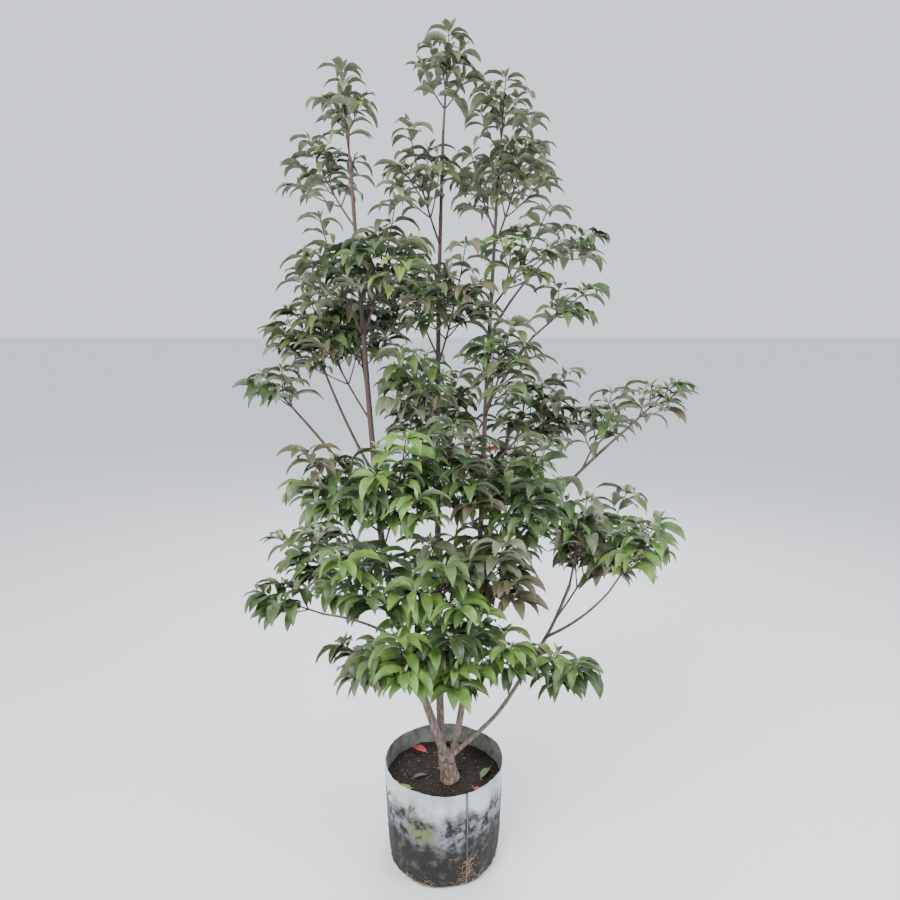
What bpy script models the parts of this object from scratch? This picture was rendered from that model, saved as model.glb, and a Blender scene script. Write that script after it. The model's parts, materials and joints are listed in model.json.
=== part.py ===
"""Evergreen dogwood with several stems from one stump, standing in a nursery grow bag.

Units are metres and +Z is up. The origin is the middle of the bag's flat underside, and
the plant's front faces -Y. Azimuths are degrees from +X towards +Y, and a rise is the
angle above level. Heights are measured from the underside of the bag.
"""
import math
import random
from collections import namedtuple

import bmesh
import bpy
from mathutils import Matrix, Vector
from mathutils.bvhtree import BVHTree

# Clearance between pieces that touch on the real plant
GAP = 0.0003

# Grow bag and the soil in it
BAG_HEIGHT = 0.307
BAG_RIM_RADIUS = 0.175
BAG_FOOT_RADIUS = 0.163
BAG_BULGE = 0.004
BAG_WALL = 0.003
BAG_FLOOR = 0.004
BAG_SIDES = 28
BAG_LEVELS = 4
BAG_DENT = 0.006
BAG_DENT_AZIMUTH = 253.0
BAG_SWAY = 0.002
SOIL_HEIGHT = 0.249
SOIL_LEVELS = 3

# Stump that all stems grow from
STUMP_FLARE_RADIUS = 0.031
STUMP_RADIUS = 0.0245
STUMP_SIDES = 14
STUMP_AXIS = (
    (0.020, -0.020, SOIL_HEIGHT + GAP),
    (0.016, -0.020, 0.275),
    (0.010, -0.019, 0.305),
    (0.004, -0.018, 0.338),
)
STUMP_RADII = (STUMP_FLARE_RADIUS, STUMP_RADIUS * 1.04, STUMP_RADIUS, STUMP_RADIUS * 0.86)
KNOB_RADIUS = 0.011
KNOBS = ((0.000, -0.038, 0.328), (0.024, -0.034, 0.322))

# Stems, from inside the stump to where each one enters the leaves at its top. The prong
# is the length that belongs to the stump
Stem = namedtuple("Stem", "name foot_radius tip_radius prong guides")
STEMS = (
    Stem("stem_left", 0.0125, 0.0044, 0.070, (
        (0.003, -0.022, 0.330), (-0.012, -0.032, 0.388), (-0.095, -0.040, 0.658),
        (-0.159, -0.048, 0.936), (-0.188, -0.055, 1.300), (-0.209, -0.055, 1.657),
        (-0.226, -0.050, 1.960))),
    Stem("stem_centre", 0.0118, 0.0038, 0.070, (
        (0.002, -0.012, 0.328), (-0.007, 0.002, 0.390), (-0.012, 0.030, 0.610),
        (-0.015, 0.045, 0.950), (-0.014, 0.060, 1.400), (-0.008, 0.066, 1.760),
        (0.002, 0.062, 2.080))),
    Stem("stem_right", 0.0105, 0.0038, 0.066, (
        (0.010, -0.014, 0.318), (0.036, -0.008, 0.362), (0.066, 0.002, 0.560),
        (0.100, 0.012, 0.868), (0.117, 0.018, 1.350), (0.132, 0.020, 1.700),
        (0.144, 0.016, 1.960))),
    Stem("stem_low", 0.0070, 0.0042, 0.055, (
        (0.016, -0.020, 0.312), (0.046, -0.028, 0.352), (0.150, -0.042, 0.470),
        (0.222, -0.048, 0.590), (0.305, -0.044, 0.745), (0.356, -0.036, 0.871))),
)
STEM_SIDES = 8
STEM_STEP = 0.13
SPLIT_MARGIN = 0.003

# Main boughs: the height where each leaves its stem, how it heads and bends, its length
Bough = namedtuple("Bough", "name parent height azimuth rise bend length radius")
BOUGHS = (
    Bough("bough_left_low", "stem_left", 0.690, 189, 42, -32, 0.26, 0.0045),
    Bough("bough_left_wide", "stem_left", 1.075, 200, 59, -8, 0.35, 0.0050),
    Bough("bough_left_steep", "stem_left", 1.185, 148, 53, 12, 0.34, 0.0045),
    Bough("bough_left_back", "stem_left", 0.700, 127, 33, 12, 0.34, 0.0045),
    Bough("bough_centre_back", "stem_centre", 0.740, 77, 33, 10, 0.31, 0.0045),
    Bough("bough_right_high", "stem_right", 1.555, 23, 61, -20, 0.26, 0.0040),
    Bough("bough_right_upper", "stem_right", 1.365, 330, 57, -4, 0.24, 0.0045),
    Bough("bough_right_wide", "stem_right", 0.850, 1, 54, -12, 0.62, 0.0058),
    Bough("bough_low_outer", "stem_low", 0.720, 338, 32, 24, 0.24, 0.0042),
)
BOUGH_SIDES = 6
BOUGH_STEP = 0.08
BOUGH_TAPER = 0.62

# Search for where the foot of a side limb meets its host
SEAT_REACH = 0.06
SEAT_HALVINGS = 24

# Foliage masses on the tip of a limb: the limb, a turn of its heading, a change of
# its rise, and the length of the mass's own stem
TipMass = namedtuple("TipMass", "name limb turn lift length")
TIP_MASSES = (
    TipMass("leaves_left_top", "stem_left", 0, 0, 0.24),
    TipMass("leaves_centre_top", "stem_centre", 0, 0, 0.24),
    TipMass("leaves_right_top", "stem_right", 0, 0, 0.24),
    TipMass("leaves_low_top", "stem_low", 0, 12, 0.25),
    TipMass("leaves_left_low_tip", "bough_left_low", 0, 12, 0.17),
    TipMass("leaves_left_wide_tip", "bough_left_wide", 0, 0, 0.13),
    TipMass("leaves_left_steep_tip", "bough_left_steep", 6, -18, 0.16),
    TipMass("leaves_left_back_tip", "bough_left_back", 0, 0, 0.24),
    TipMass("leaves_centre_back_tip", "bough_centre_back", 0, 0, 0.24),
    TipMass("leaves_right_high_tip", "bough_right_high", 0, -16, 0.17),
    TipMass("leaves_right_upper_tip", "bough_right_upper", 0, -14, 0.18),
    TipMass("leaves_right_wide_tip", "bough_right_wide", 0, 2, 0.17),
    TipMass("leaves_low_outer_tip", "bough_low_outer", 0, 6, 0.23),
)

# Foliage masses whose own stem grows from the side of a limb
SideMass = namedtuple("SideMass", "name limb height azimuth rise length")
SIDE_MASSES = (
    SideMass("leaves_left_crest", "stem_left", 1.830, 135, 42, 0.30),
    SideMass("leaves_left_shoulder", "stem_left", 1.560, 239, 51, 0.31),
    SideMass("leaves_left_upper", "stem_left", 1.340, 149, 50, 0.44),
    SideMass("leaves_left_inner_high", "stem_left", 1.560, 304, 50, 0.35),
    SideMass("leaves_left_back_high", "stem_left", 1.380, 106, 44, 0.48),
    SideMass("leaves_left_slope", "stem_left", 1.030, 231, 37, 0.35),
    SideMass("leaves_left_middle", "stem_left", 0.900, 156, -1, 0.36),
    SideMass("leaves_left_front", "stem_left", 0.980, 287, 41, 0.46),
    SideMass("leaves_left_belly", "stem_left", 0.830, 250, 27, 0.36),
    SideMass("leaves_left_skirt", "stem_left", 0.560, 191, 25, 0.26),
    SideMass("leaves_left_front_low", "stem_left", 0.600, 264, 32, 0.36),
    SideMass("leaves_centre_crest", "stem_centre", 1.800, 240, 51, 0.30),
    SideMass("leaves_centre_left_high", "stem_centre", 1.500, 121, 44, 0.35),
    SideMass("leaves_centre_right_high", "stem_centre", 1.480, 289, 44, 0.37),
    SideMass("leaves_centre_left", "stem_centre", 1.270, 245, 40, 0.33),
    SideMass("leaves_centre_back", "stem_centre", 1.130, 97, 40, 0.48),
    SideMass("leaves_centre_front", "stem_centre", 1.060, 278, 33, 0.44),
    SideMass("leaves_centre_belly", "stem_centre", 0.790, 273, 23, 0.47),
    SideMass("leaves_centre_skirt", "stem_centre", 0.600, 277, 27, 0.37),
    SideMass("leaves_right_crest_in", "stem_right", 1.830, 111, 44, 0.27),
    SideMass("leaves_right_crest_out", "stem_right", 1.790, 305, 55, 0.31),
    SideMass("leaves_right_shoulder", "stem_right", 1.630, 307, 38, 0.30),
    SideMass("leaves_right_front_high", "stem_right", 1.340, 284, 41, 0.32),
    SideMass("leaves_right_slope", "stem_right", 1.180, 32, 33, 0.39),
    SideMass("leaves_right_inner", "stem_right", 0.925, 314, 48, 0.44),
    SideMass("leaves_right_back", "stem_right", 0.970, 68, 27, 0.46),
    SideMass("leaves_right_front", "stem_right", 0.840, 279, 27, 0.39),
    SideMass("leaves_right_skirt", "stem_right", 0.650, 290, 17, 0.30),
    SideMass("leaves_right_wide_side", "bough_right_wide", 1.190, 49, 42, 0.26),
    SideMass("leaves_low_side", "stem_low", 0.770, 35, 40, 0.43),
    SideMass("leaves_low_hanging", "stem_low", 0.610, 304, 20, 0.23),
)

# Twigs of a foliage mass: opposite pairs, each turned a right angle from the last
TWIG_SIDES = 3
TWIG_STEPS = 3
TWIG_FOOT_RADIUS = 0.0036
TWIG_TIP_RADIUS = 0.0026
TWIG_SHARE_OF_LIMB = 0.6
TWIG_UPTURN = 20.0
STEEPEST_RISE = 86.0
COLLAR = 0.012
BARE_SHARE = 0.34
BRANCHING_SHARE = 0.58
NODE_SPACING = 0.110
SIDE_TWIG_SHARE = 0.60
SIDE_TWIG_SHORTEST = 0.070
SIDE_TWIG_RADIUS = 0.0030
SIDE_TWIG_STEPS = 2
SIDE_TWIG_ANGLE = 42.0
SIDE_TWIG_BARE_SHARE = 0.55
SIDE_TWIG_TRIES = 4

# Leaves of a foliage mass, each one standing for a spray of three or so
LEAF_LENGTH = 0.128
LEAF_WIDTH = 0.050
LEAF_WIDEST = 0.46
LEAF_FOLD = 0.005
LEAF_ANGLE = 62.0
LEAF_RISE = 24.0
LEAF_TIP_REACH = 0.84
LEAF_TIP_DROP = 0.30
LEAF_SIZE_SPREAD = 0.10
LEAF_ROOT_DEPTH = 0.0004
LEAF_TRIES = 7
ROSETTE_LEAVES = 4
SIDE_ROSETTE_LEAVES = 3
ROSETTE_ANGLE = 50.0
ROSETTE_SCALE = 0.82
ROSETTE_STAGGER = 0.0015

# Room that a new twig or leaf keeps to all others
GUARD = 0.0025
GUARD_START = 0.18
SPACE_TOLERANCE = 0.035

# Finishes: base colour, roughness and metallic value
FINISHES = {
    "bag_film": ((0.085, 0.088, 0.090), 0.62, 0.0),
    "moist_soil": ((0.020, 0.015, 0.011), 0.95, 0.0),
    "stump_bark": ((0.290, 0.235, 0.195), 0.88, 0.0),
    "stem_bark": ((0.175, 0.120, 0.105), 0.80, 0.0),
    "bough_bark": ((0.095, 0.052, 0.050), 0.72, 0.0),
    "leaf_green": ((0.060, 0.125, 0.035), 0.45, 0.0),
    "leaf_bright": ((0.105, 0.210, 0.045), 0.45, 0.0),
    "leaf_bronze": ((0.095, 0.100, 0.055), 0.48, 0.0),
}
BRONZE_HEIGHT = 1.75
BRIGHT_MASSES = ("leaves_left_front", "leaves_centre_belly", "leaves_right_skirt")
SMOOTH_BELOW = 50.0

Path = namedtuple("Path", "points radii")
Shape = namedtuple("Shape", "verts faces")
Piece = namedtuple("Piece", "tree centre reach owner")
Twig = namedtuple("Twig", "path shape")
Site = namedtuple("Site", "twig along roll angle scale")
UP = Vector((0, 0, 1))


def clear_scene():
    """Start from an empty scene."""
    for thing in list(bpy.data.objects):
        bpy.data.objects.remove(thing)


def add_material(thing, finish):
    """A material of the object's own, from the table of finishes."""
    colour, roughness, metallic = FINISHES[finish]
    material = bpy.data.materials.new(thing.name + "_" + finish)
    material.use_nodes = True
    shader = material.node_tree.nodes["Principled BSDF"]
    shader.inputs["Base Color"].default_value = (*colour, 1.0)
    shader.inputs["Roughness"].default_value = roughness
    shader.inputs["Metallic"].default_value = metallic
    thing.data.materials.clear()
    thing.data.materials.append(material)


def add_object(name, shape, finish=None):
    """An object from a list of corners and faces."""
    mesh = bpy.data.meshes.new(name)
    mesh.from_pydata([tuple(v) for v in shape.verts], [], shape.faces)
    thing = bpy.data.objects.new(name, mesh)
    bpy.context.scene.collection.objects.link(thing)
    if finish:
        add_material(thing, finish)
    return thing


def shade_round(thing):
    """Smooth shading for a round piece, with its sharp edges kept."""
    thing.data.shade_smooth()
    thing.data.set_sharp_from_angle(angle=math.radians(SMOOTH_BELOW))


def circle(sides):
    """Angles of the corners of a ring."""
    return [2 * math.pi * n / sides for n in range(sides)]


def heading(azimuth, rise):
    """Unit vector for an azimuth and a rise in degrees."""
    around = math.radians(azimuth)
    up = math.radians(rise)
    return Vector((math.cos(around) * math.cos(up), math.sin(around) * math.cos(up), math.sin(up)))


def angles_of(direction):
    """Azimuth and rise in degrees of a direction."""
    level = math.hypot(direction.x, direction.y)
    return math.degrees(math.atan2(direction.y, direction.x)), math.degrees(math.atan2(direction.z, level))


def smooth_points(guides, step):
    """Points about a step apart on a smooth curve through the guide points."""
    guides = [Vector(g) for g in guides]
    ends = [2 * guides[0] - guides[1]] + guides + [2 * guides[-1] - guides[-2]]
    points = [guides[0]]
    for a, b, c, d in zip(ends, ends[1:], ends[2:], ends[3:]):
        count = max(1, round((c - b).length / step))
        for k in range(1, count + 1):
            t = k / count
            points.append(0.5 * (2 * b + (c - a) * t + (2 * a - 5 * b + 4 * c - d) * t ** 2
                                 + (3 * b - a - 3 * c + d) * t ** 3))
    return points


def bending_points(start, azimuth, rise, bend, length, count):
    """Points of a limb whose rise changes evenly along it."""
    points = [start]
    for k in range(count):
        t = (k + 0.5) / count
        points.append(points[-1] + heading(azimuth, rise + bend * t) * (length / count))
    return points


def distances_along(points):
    """Distance of each point from the first, along the path."""
    total = [0.0]
    for a, b in zip(points, points[1:]):
        total.append(total[-1] + (b - a).length)
    return total


def tapered(points, foot_radius, tip_radius):
    """A path whose radius falls evenly from its foot to its tip."""
    along = distances_along(points)
    return Path(points, [foot_radius + (tip_radius - foot_radius) * s / along[-1] for s in along])


def place_along(path, distance):
    """Point, tangent and radius at a distance from a path's foot."""
    left = distance
    for k in range(1, len(path.points)):
        low, high = path.points[k - 1], path.points[k]
        step = (high - low).length
        if left <= step or k == len(path.points) - 1:
            t = min(left / step, 1.0)
            radius = path.radii[k - 1] + (path.radii[k] - path.radii[k - 1]) * t
            return low.lerp(high, t), (high - low).normalized(), radius
        left -= step


def place_at_height(path, height):
    """Point, tangent and radius of a rising limb at a height."""
    for k in range(1, len(path.points)):
        low, high = path.points[k - 1], path.points[k]
        if low.z <= height <= high.z:
            t = (height - low.z) / (high.z - low.z)
            radius = path.radii[k - 1] + (path.radii[k] - path.radii[k - 1]) * t
            return low.lerp(high, t), (high - low).normalized(), radius
    raise ValueError("height %.3f is off the limb" % height)


def split_path(path, distance):
    """The stretch of a path up to a distance, and the rest from a gap past it."""
    along = distances_along(path.points)
    low = [(p, r) for p, r, s in zip(path.points, path.radii, along) if s < distance - SPLIT_MARGIN]
    high = [(p, r) for p, r, s in zip(path.points, path.radii, along) if s > distance + SPLIT_MARGIN]
    low_end, _, low_radius = place_along(path, distance)
    high_end, _, high_radius = place_along(path, distance + GAP)
    low.append((low_end, low_radius))
    high.insert(0, (high_end, high_radius))
    return Path(*map(list, zip(*low))), Path(*map(list, zip(*high)))


def rings_along(path, sides, first_direction=None):
    """Rings of corners along a path, carried on without twist."""
    points = path.points
    last = len(points) - 1
    tangents = [(points[min(k + 1, last)] - points[max(k - 1, 0)]).normalized() for k in range(last + 1)]
    if first_direction is not None:
        tangents[0] = first_direction
    side = tangents[0].orthogonal().normalized()
    rings = []
    for k, (point, radius, tangent) in enumerate(zip(points, path.radii, tangents)):
        if k:
            side = tangents[k - 1].rotation_difference(tangent) @ side
            side = (side - tangent * side.dot(tangent)).normalized()
        other = tangent.cross(side)
        rings.append([point + radius * (math.cos(a) * side + math.sin(a) * other) for a in circle(sides)])
    return rings


def tube_from_rings(rings, foot_centre=None):
    """A closed tube with flat ends. A centre for its foot lets that end be hollowed."""
    sides = len(rings[0])
    verts = [v for ring in rings for v in ring]
    faces = []
    for k in range(len(rings) - 1):
        low, high = k * sides, (k + 1) * sides
        for n in range(sides):
            m = (n + 1) % sides
            faces.append((low + n, low + m, high + m))
            faces.append((low + n, high + m, high + n))
    last = (len(rings) - 1) * sides
    faces += [(last, last + n, last + n + 1) for n in range(1, sides - 1)]
    if foot_centre is None:
        faces += [(0, n + 1, n) for n in range(1, sides - 1)]
    else:
        verts.append(foot_centre)
        faces += [(len(verts) - 1, (n + 1) % sides, n) for n in range(sides)]
    return Shape(verts, faces)


def tube(path, sides, first_direction=None):
    """A closed tapering tube along a path."""
    return tube_from_rings(rings_along(path, sides, first_direction))


def distance_to_path(point, points):
    """Distance from a point to a line of points."""
    best = math.inf
    for a, b in zip(points, points[1:]):
        along = b - a
        t = max(0.0, min(1.0, (point - a).dot(along) / along.length_squared))
        best = min(best, (a + along * t - point).length)
    return best


def seated(corner, direction, square, centre, host, clear):
    """Where the line through a corner of a foot comes out to a distance from its host's axis."""
    low = (centre - corner).dot(square) / square.length_squared
    high = low + SEAT_REACH
    for _ in range(SEAT_HALVINGS):
        middle = (low + high) / 2
        if distance_to_path(corner + direction * middle, host.points) < clear:
            low = middle
        else:
            high = middle
    return corner + direction * high


def side_tube(path, sides, host, place):
    """A tube whose foot is hollowed to its host limb, a gap clear of it, at a place on it."""
    centre, tangent, host_radius = place
    direction = (path.points[1] - path.points[0]).normalized()
    square = direction - tangent * direction.dot(tangent)
    chord = 2 * path.radii[0] * math.sin(math.pi / sides)
    clear = host_radius + GAP + chord ** 2 / (8 * host_radius)
    rings = rings_along(path, sides, direction)
    foot = [seated(corner, direction, square, centre, host, clear) for corner in rings[0]]
    middle = seated(path.points[0], direction, square, centre, host, host_radius + GAP)
    return tube_from_rings([foot] + rings[1:], middle)


def keep_largest_shell(thing):
    """Drop sealed hollows and loose scraps: all but the shell with the most corners."""
    work = bmesh.new()
    work.from_mesh(thing.data)
    left = set(work.verts)
    shells = []
    while left:
        shell = [left.pop()]
        for vert in shell:
            for edge in vert.link_edges:
                other = edge.other_vert(vert)
                if other in left:
                    left.remove(other)
                    shell.append(other)
        shells.append(shell)
    shells.sort(key=len)
    for shell in shells[:-1]:
        bmesh.ops.delete(work, geom=shell, context="VERTS")
    bmesh.ops.triangulate(work, faces=work.faces)
    work.to_mesh(thing.data)
    work.free()


def fuse(name, shapes, finish):
    """One closed body from overlapping shapes, by one union on a collection."""
    body = add_object(name, shapes[0])
    group = bpy.data.collections.new(name + "_pieces")
    bpy.context.scene.collection.children.link(group)
    for shape in shapes[1:]:
        piece = add_object(name + "_piece", shape)
        bpy.context.scene.collection.objects.unlink(piece)
        group.objects.link(piece)
    union = body.modifiers.new("union", "BOOLEAN")
    union.operation = "UNION"
    union.operand_type = "COLLECTION"
    union.collection = group
    union.solver = "MANIFOLD"
    evaluated = body.evaluated_get(bpy.context.evaluated_depsgraph_get())
    fused = bpy.data.meshes.new_from_object(evaluated)
    body.modifiers.clear()
    body.data = fused
    for piece in list(group.objects):
        bpy.data.objects.remove(piece)
    bpy.data.collections.remove(group)
    keep_largest_shell(body)
    add_material(body, finish)
    return body


def bag_ring(height, inset):
    """A ring of corners on the bag's wall, which bulges a little and is dented in front."""
    share = height / BAG_HEIGHT
    ring = []
    for angle in circle(BAG_SIDES):
        facing = max(0.0, math.cos(angle - math.radians(BAG_DENT_AZIMUTH))) ** 6
        radius = BAG_FOOT_RADIUS + (BAG_RIM_RADIUS - BAG_FOOT_RADIUS) * share
        radius += BAG_BULGE * math.sin(math.pi * share) + BAG_SWAY * math.cos(3 * angle) * share
        radius -= BAG_DENT * facing * share + inset
        ring.append(Vector((radius * math.cos(angle), radius * math.sin(angle), height)))
    return ring


def build_bag():
    """Open bag of thin film with a flat underside."""
    shares = [k / BAG_LEVELS for k in range(BAG_LEVELS + 1)]
    outside = [bag_ring(BAG_HEIGHT * s, 0.0) for s in shares]
    inside = [bag_ring(BAG_FLOOR + (BAG_HEIGHT - BAG_FLOOR) * s, BAG_WALL) for s in reversed(shares)]
    shape = tube_from_rings(outside + inside)
    shade_round(add_object("grow_bag", shape, "bag_film"))
    return shape


def build_soil():
    """Moist soil that fills the bag to a little below its rim."""
    bottom = BAG_FLOOR + GAP
    heights = [bottom + (SOIL_HEIGHT - bottom) * k / SOIL_LEVELS for k in range(SOIL_LEVELS + 1)]
    shape = tube_from_rings([bag_ring(h, BAG_WALL + 2 * GAP) for h in heights])
    shade_round(add_object("soil", shape, "moist_soil"))
    return shape


def stem_path(stem):
    """Whole path of a stem, from inside the stump to its top."""
    return tapered(smooth_points(stem.guides, STEM_STEP), stem.foot_radius, stem.tip_radius)


def stump_shape():
    """Flared, leaning stump with a flat cut at the soil."""
    rings = []
    for point, radius in zip(STUMP_AXIS, STUMP_RADII):
        centre = Vector(point)
        rings.append([centre + radius * Vector((math.cos(a), math.sin(a), 0)) for a in circle(STUMP_SIDES)])
    return tube_from_rings(rings)


def knob_shape(centre):
    """Rounded stub of a shoot that was pruned off."""
    work = bmesh.new()
    place = Matrix.Translation(centre)
    bmesh.ops.create_icosphere(work, subdivisions=1, radius=KNOB_RADIUS, matrix=place)
    verts = [v.co.copy() for v in work.verts]
    faces = [tuple(v.index for v in f.verts) for f in work.faces]
    work.free()
    return Shape(verts, faces)


def build_trunk(paths):
    """Stump with the short prongs that the stems go on from. The paths lose their prongs."""
    shapes = [stump_shape()]
    for stem in STEMS:
        prong, paths[stem.name] = split_path(paths[stem.name], stem.prong)
        shapes.append(tube(prong, STEM_SIDES))
    shapes += [knob_shape(centre) for centre in KNOBS]
    shade_round(fuse("trunk", shapes, "stump_bark"))
    return shapes


def build_stems(paths):
    """The four stems, each whole from its prong to its top."""
    shapes = []
    for stem in STEMS:
        shapes.append(tube(paths[stem.name], STEM_SIDES))
        shade_round(add_object(stem.name, shapes[-1], "stem_bark"))
    return shapes


def build_boughs(paths):
    """Main boughs, each one tapering limb. Their paths join those of the stems."""
    shapes = []
    for bough in BOUGHS:
        host = paths[bough.parent]
        place = place_at_height(host, bough.height)
        start = place[0] + heading(bough.azimuth, bough.rise) * place[2]
        steps = max(2, round(bough.length / BOUGH_STEP))
        points = bending_points(start, bough.azimuth, bough.rise, bough.bend, bough.length, steps)
        path = tapered(points, bough.radius, bough.radius * BOUGH_TAPER)
        paths[bough.name] = path
        shapes.append(side_tube(path, BOUGH_SIDES, host, place))
        shade_round(add_object(bough.name, shapes[-1], "bough_bark"))
    return shapes


def tip_stem(mass, limb):
    """A mass's own stem that carries on from the tip of a limb."""
    end = (limb.points[-1] - limb.points[-2]).normalized()
    azimuth, rise = angles_of(end)
    start = limb.points[-1] + end * GAP
    rise = min(rise + mass.lift, STEEPEST_RISE)
    points = bending_points(start + end * COLLAR, azimuth + mass.turn, rise, 0,
                            mass.length - COLLAR, TWIG_STEPS)
    path = tapered([start] + points, min(TWIG_FOOT_RADIUS, limb.radii[-1]), TWIG_TIP_RADIUS)
    return Twig(path, tube(path, TWIG_SIDES, end))


def side_stem(mass, limb):
    """A mass's own stem that grows from the side of a limb."""
    place = place_at_height(limb, mass.height)
    start = place[0] + heading(mass.azimuth, mass.rise) * place[2]
    upturn = min(TWIG_UPTURN, STEEPEST_RISE - mass.rise)
    points = bending_points(start, mass.azimuth, mass.rise, upturn, mass.length, TWIG_STEPS)
    path = tapered(points, min(TWIG_FOOT_RADIUS, TWIG_SHARE_OF_LIMB * place[2]), TWIG_TIP_RADIUS)
    return Twig(path, side_tube(path, TWIG_SIDES, limb, place))


class Space:
    """What is built so far, which keeps each new twig or leaf clear and in its own room."""

    def __init__(self):
        self.pieces = []
        self.axes = {}

    def add(self, shape, owner=None):
        """Count a shape as built, as part of a mass or of the limbs."""
        self.pieces.append(self.measured(shape, owner))

    @staticmethod
    def measured(shape, owner):
        """A shape's search tree and the ball around it."""
        centre = sum(shape.verts, Vector()) / len(shape.verts)
        reach = max((v - centre).length for v in shape.verts)
        return Piece(BVHTree.FromPolygons(shape.verts, shape.faces), centre, reach, owner)

    def crosses(self, shape, spared=None):
        """True where a shape crosses anything that is built, but for a mass that is spared."""
        probe = self.measured(shape, None)
        for piece in self.pieces:
            if spared and piece.owner == spared:
                continue
            near = (piece.centre - probe.centre).length <= piece.reach + probe.reach
            if near and piece.tree.overlap(probe.tree):
                return True
        return False

    def has_room(self, owner, shape, guard):
        """True where a shape is clear of all other masses and limbs, and its guard of all."""
        return not self.crosses(guard) and not self.crosses(shape, owner)

    def is_own(self, owner, point):
        """True where a point is about as near its own mass's stem as any other's."""
        own = distance_to_path(point, self.axes[owner]) - SPACE_TOLERANCE
        return all(own < distance_to_path(point, axis) for name, axis in self.axes.items() if name != owner)


def tilted(direction, roll, angle):
    """Direction at an angle from a twig and rolled about it, with its part square to the twig."""
    side = Matrix.Rotation(roll, 3, direction) @ direction.orthogonal().normalized()
    tilt = math.radians(angle)
    return direction * math.cos(tilt) + side * math.sin(tilt), side


def leaf_direction(direction, roll, angle, rise):
    """Direction of a leaf's first half. Leaves on level twigs turn to the twig's two sides."""
    out, side = tilted(direction, roll, angle)
    level = Vector((out.x, out.y, 0)) + direction.cross(UP) * side.z
    azimuth, _ = angles_of(level)
    return heading(azimuth, rise)


def leaf_shape(root, out, length, guard=0.0):
    """Drooping leaf of six faces, as thick as its fold. A guard is a fatter one without its foot."""
    level = Vector((out.x, out.y, 0)).normalized()
    across = level.cross(UP)
    up = across.cross(out)
    half_width = LEAF_WIDTH * length / LEAF_LENGTH / 2 + guard
    rib = root + out * length * LEAF_WIDEST
    tip = root + (level * LEAF_TIP_REACH - UP * LEAF_TIP_DROP) * length
    foot = root.lerp(rib, GUARD_START) if guard else root - out * LEAF_ROOT_DEPTH
    edge = rib - up * (LEAF_FOLD + guard)
    verts = [foot, edge + across * half_width, edge - across * half_width, rib + up * guard, tip]
    faces = [(0, 1, 3), (0, 3, 2), (0, 2, 1), (4, 3, 1), (4, 2, 3), (4, 1, 2)]
    return Shape(verts, faces)


def node_places(length, first):
    """Distances along a twig where pairs stand, ending short of its tip."""
    count = max(0, math.ceil((length - 0.4 * NODE_SPACING - first) / NODE_SPACING))
    return [first + k * NODE_SPACING for k in range(count)]


def pair_rolls(turn, count):
    """Rolls of the two sides of the pair at a node."""
    return [turn + count * math.pi / 2 + side for side in (0, math.pi)]


def swing(attempt, step):
    """Turns to either side that grow with each attempt: 0, +1, -1, +2, -2 steps."""
    return (attempt + 1) // 2 * (step if attempt % 2 else -step)


def try_side_twig(space, owner, host, along, roll, rng):
    """One side twig where there is room for it, turned a little at each try."""
    root, direction, _ = place_along(host.path, along)
    total = distances_along(host.path.points)[-1]
    length = max(SIDE_TWIG_SHORTEST, SIDE_TWIG_SHARE * (total - along)) * rng.uniform(0.88, 1.08)
    for attempt in range(SIDE_TWIG_TRIES):
        out, _ = tilted(direction, roll + swing(attempt, 0.4), SIDE_TWIG_ANGLE)
        azimuth, rise = angles_of(out)
        upturn = min(TWIG_UPTURN, STEEPEST_RISE - rise)
        points = bending_points(root, azimuth, rise, upturn, length, SIDE_TWIG_STEPS)
        path = tapered(points, SIDE_TWIG_RADIUS, TWIG_TIP_RADIUS)
        clear = Path([root.lerp(points[1], GUARD_START)] + points[1:], [r + GUARD for r in path.radii])
        twig = Twig(path, tube(path, TWIG_SIDES))
        if space.is_own(owner, points[-1]) and space.has_room(owner, twig.shape, tube(clear, TWIG_SIDES)):
            space.add(twig.shape, owner)
            return twig
    return None


def grow_twigs(space, owner, stem, rng):
    """Side twigs on the branching stretch of a mass's stem, and the sites of its leaves."""
    total = distances_along(stem.path.points)[-1]
    turn = rng.uniform(0, math.pi)
    twigs = [stem]
    sites = []
    for count, along in enumerate(node_places(total, BARE_SHARE * total)):
        for roll in pair_rolls(turn, count):
            twig = None
            if along < BRANCHING_SHARE * total:
                twig = try_side_twig(space, owner, stem, along, roll, rng)
            if twig:
                twigs.append(twig)
            else:
                sites.append(Site(stem, along, roll, LEAF_ANGLE, 1.0))
    for twig in twigs:
        length = distances_along(twig.path.points)[-1]
        turn = rng.uniform(0, 2 * math.pi)
        if twig is not stem:
            for count, along in enumerate(node_places(length, SIDE_TWIG_BARE_SHARE * length)):
                sites += [Site(twig, along, roll, LEAF_ANGLE, 1.0) for roll in pair_rolls(turn, count)]
        leaves = ROSETTE_LEAVES if twig is stem else SIDE_ROSETTE_LEAVES
        for k in range(leaves):
            along = length - ROSETTE_STAGGER * (k + 1)
            sites.append(Site(twig, along, turn + circle(leaves)[k], ROSETTE_ANGLE, ROSETTE_SCALE))
    return twigs, sites


def try_leaf(space, owner, site, rng):
    """One leaf where there is room for it, turned a little at each try."""
    root, direction, _ = place_along(site.twig.path, site.along)
    length = LEAF_LENGTH * site.scale * rng.uniform(1 - LEAF_SIZE_SPREAD, 1 + LEAF_SIZE_SPREAD)
    for attempt in range(LEAF_TRIES):
        roll = site.roll + swing(attempt, 0.35) + rng.uniform(-0.15, 0.15)
        out = leaf_direction(direction, roll, site.angle, LEAF_RISE + rng.uniform(-10, 10))
        leaf = leaf_shape(root, out, length)
        guard = leaf_shape(root, out, length, GUARD)
        if space.is_own(owner, leaf.verts[-1]) and space.has_room(owner, leaf, guard):
            space.add(leaf, owner)
            return leaf
    return None


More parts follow.
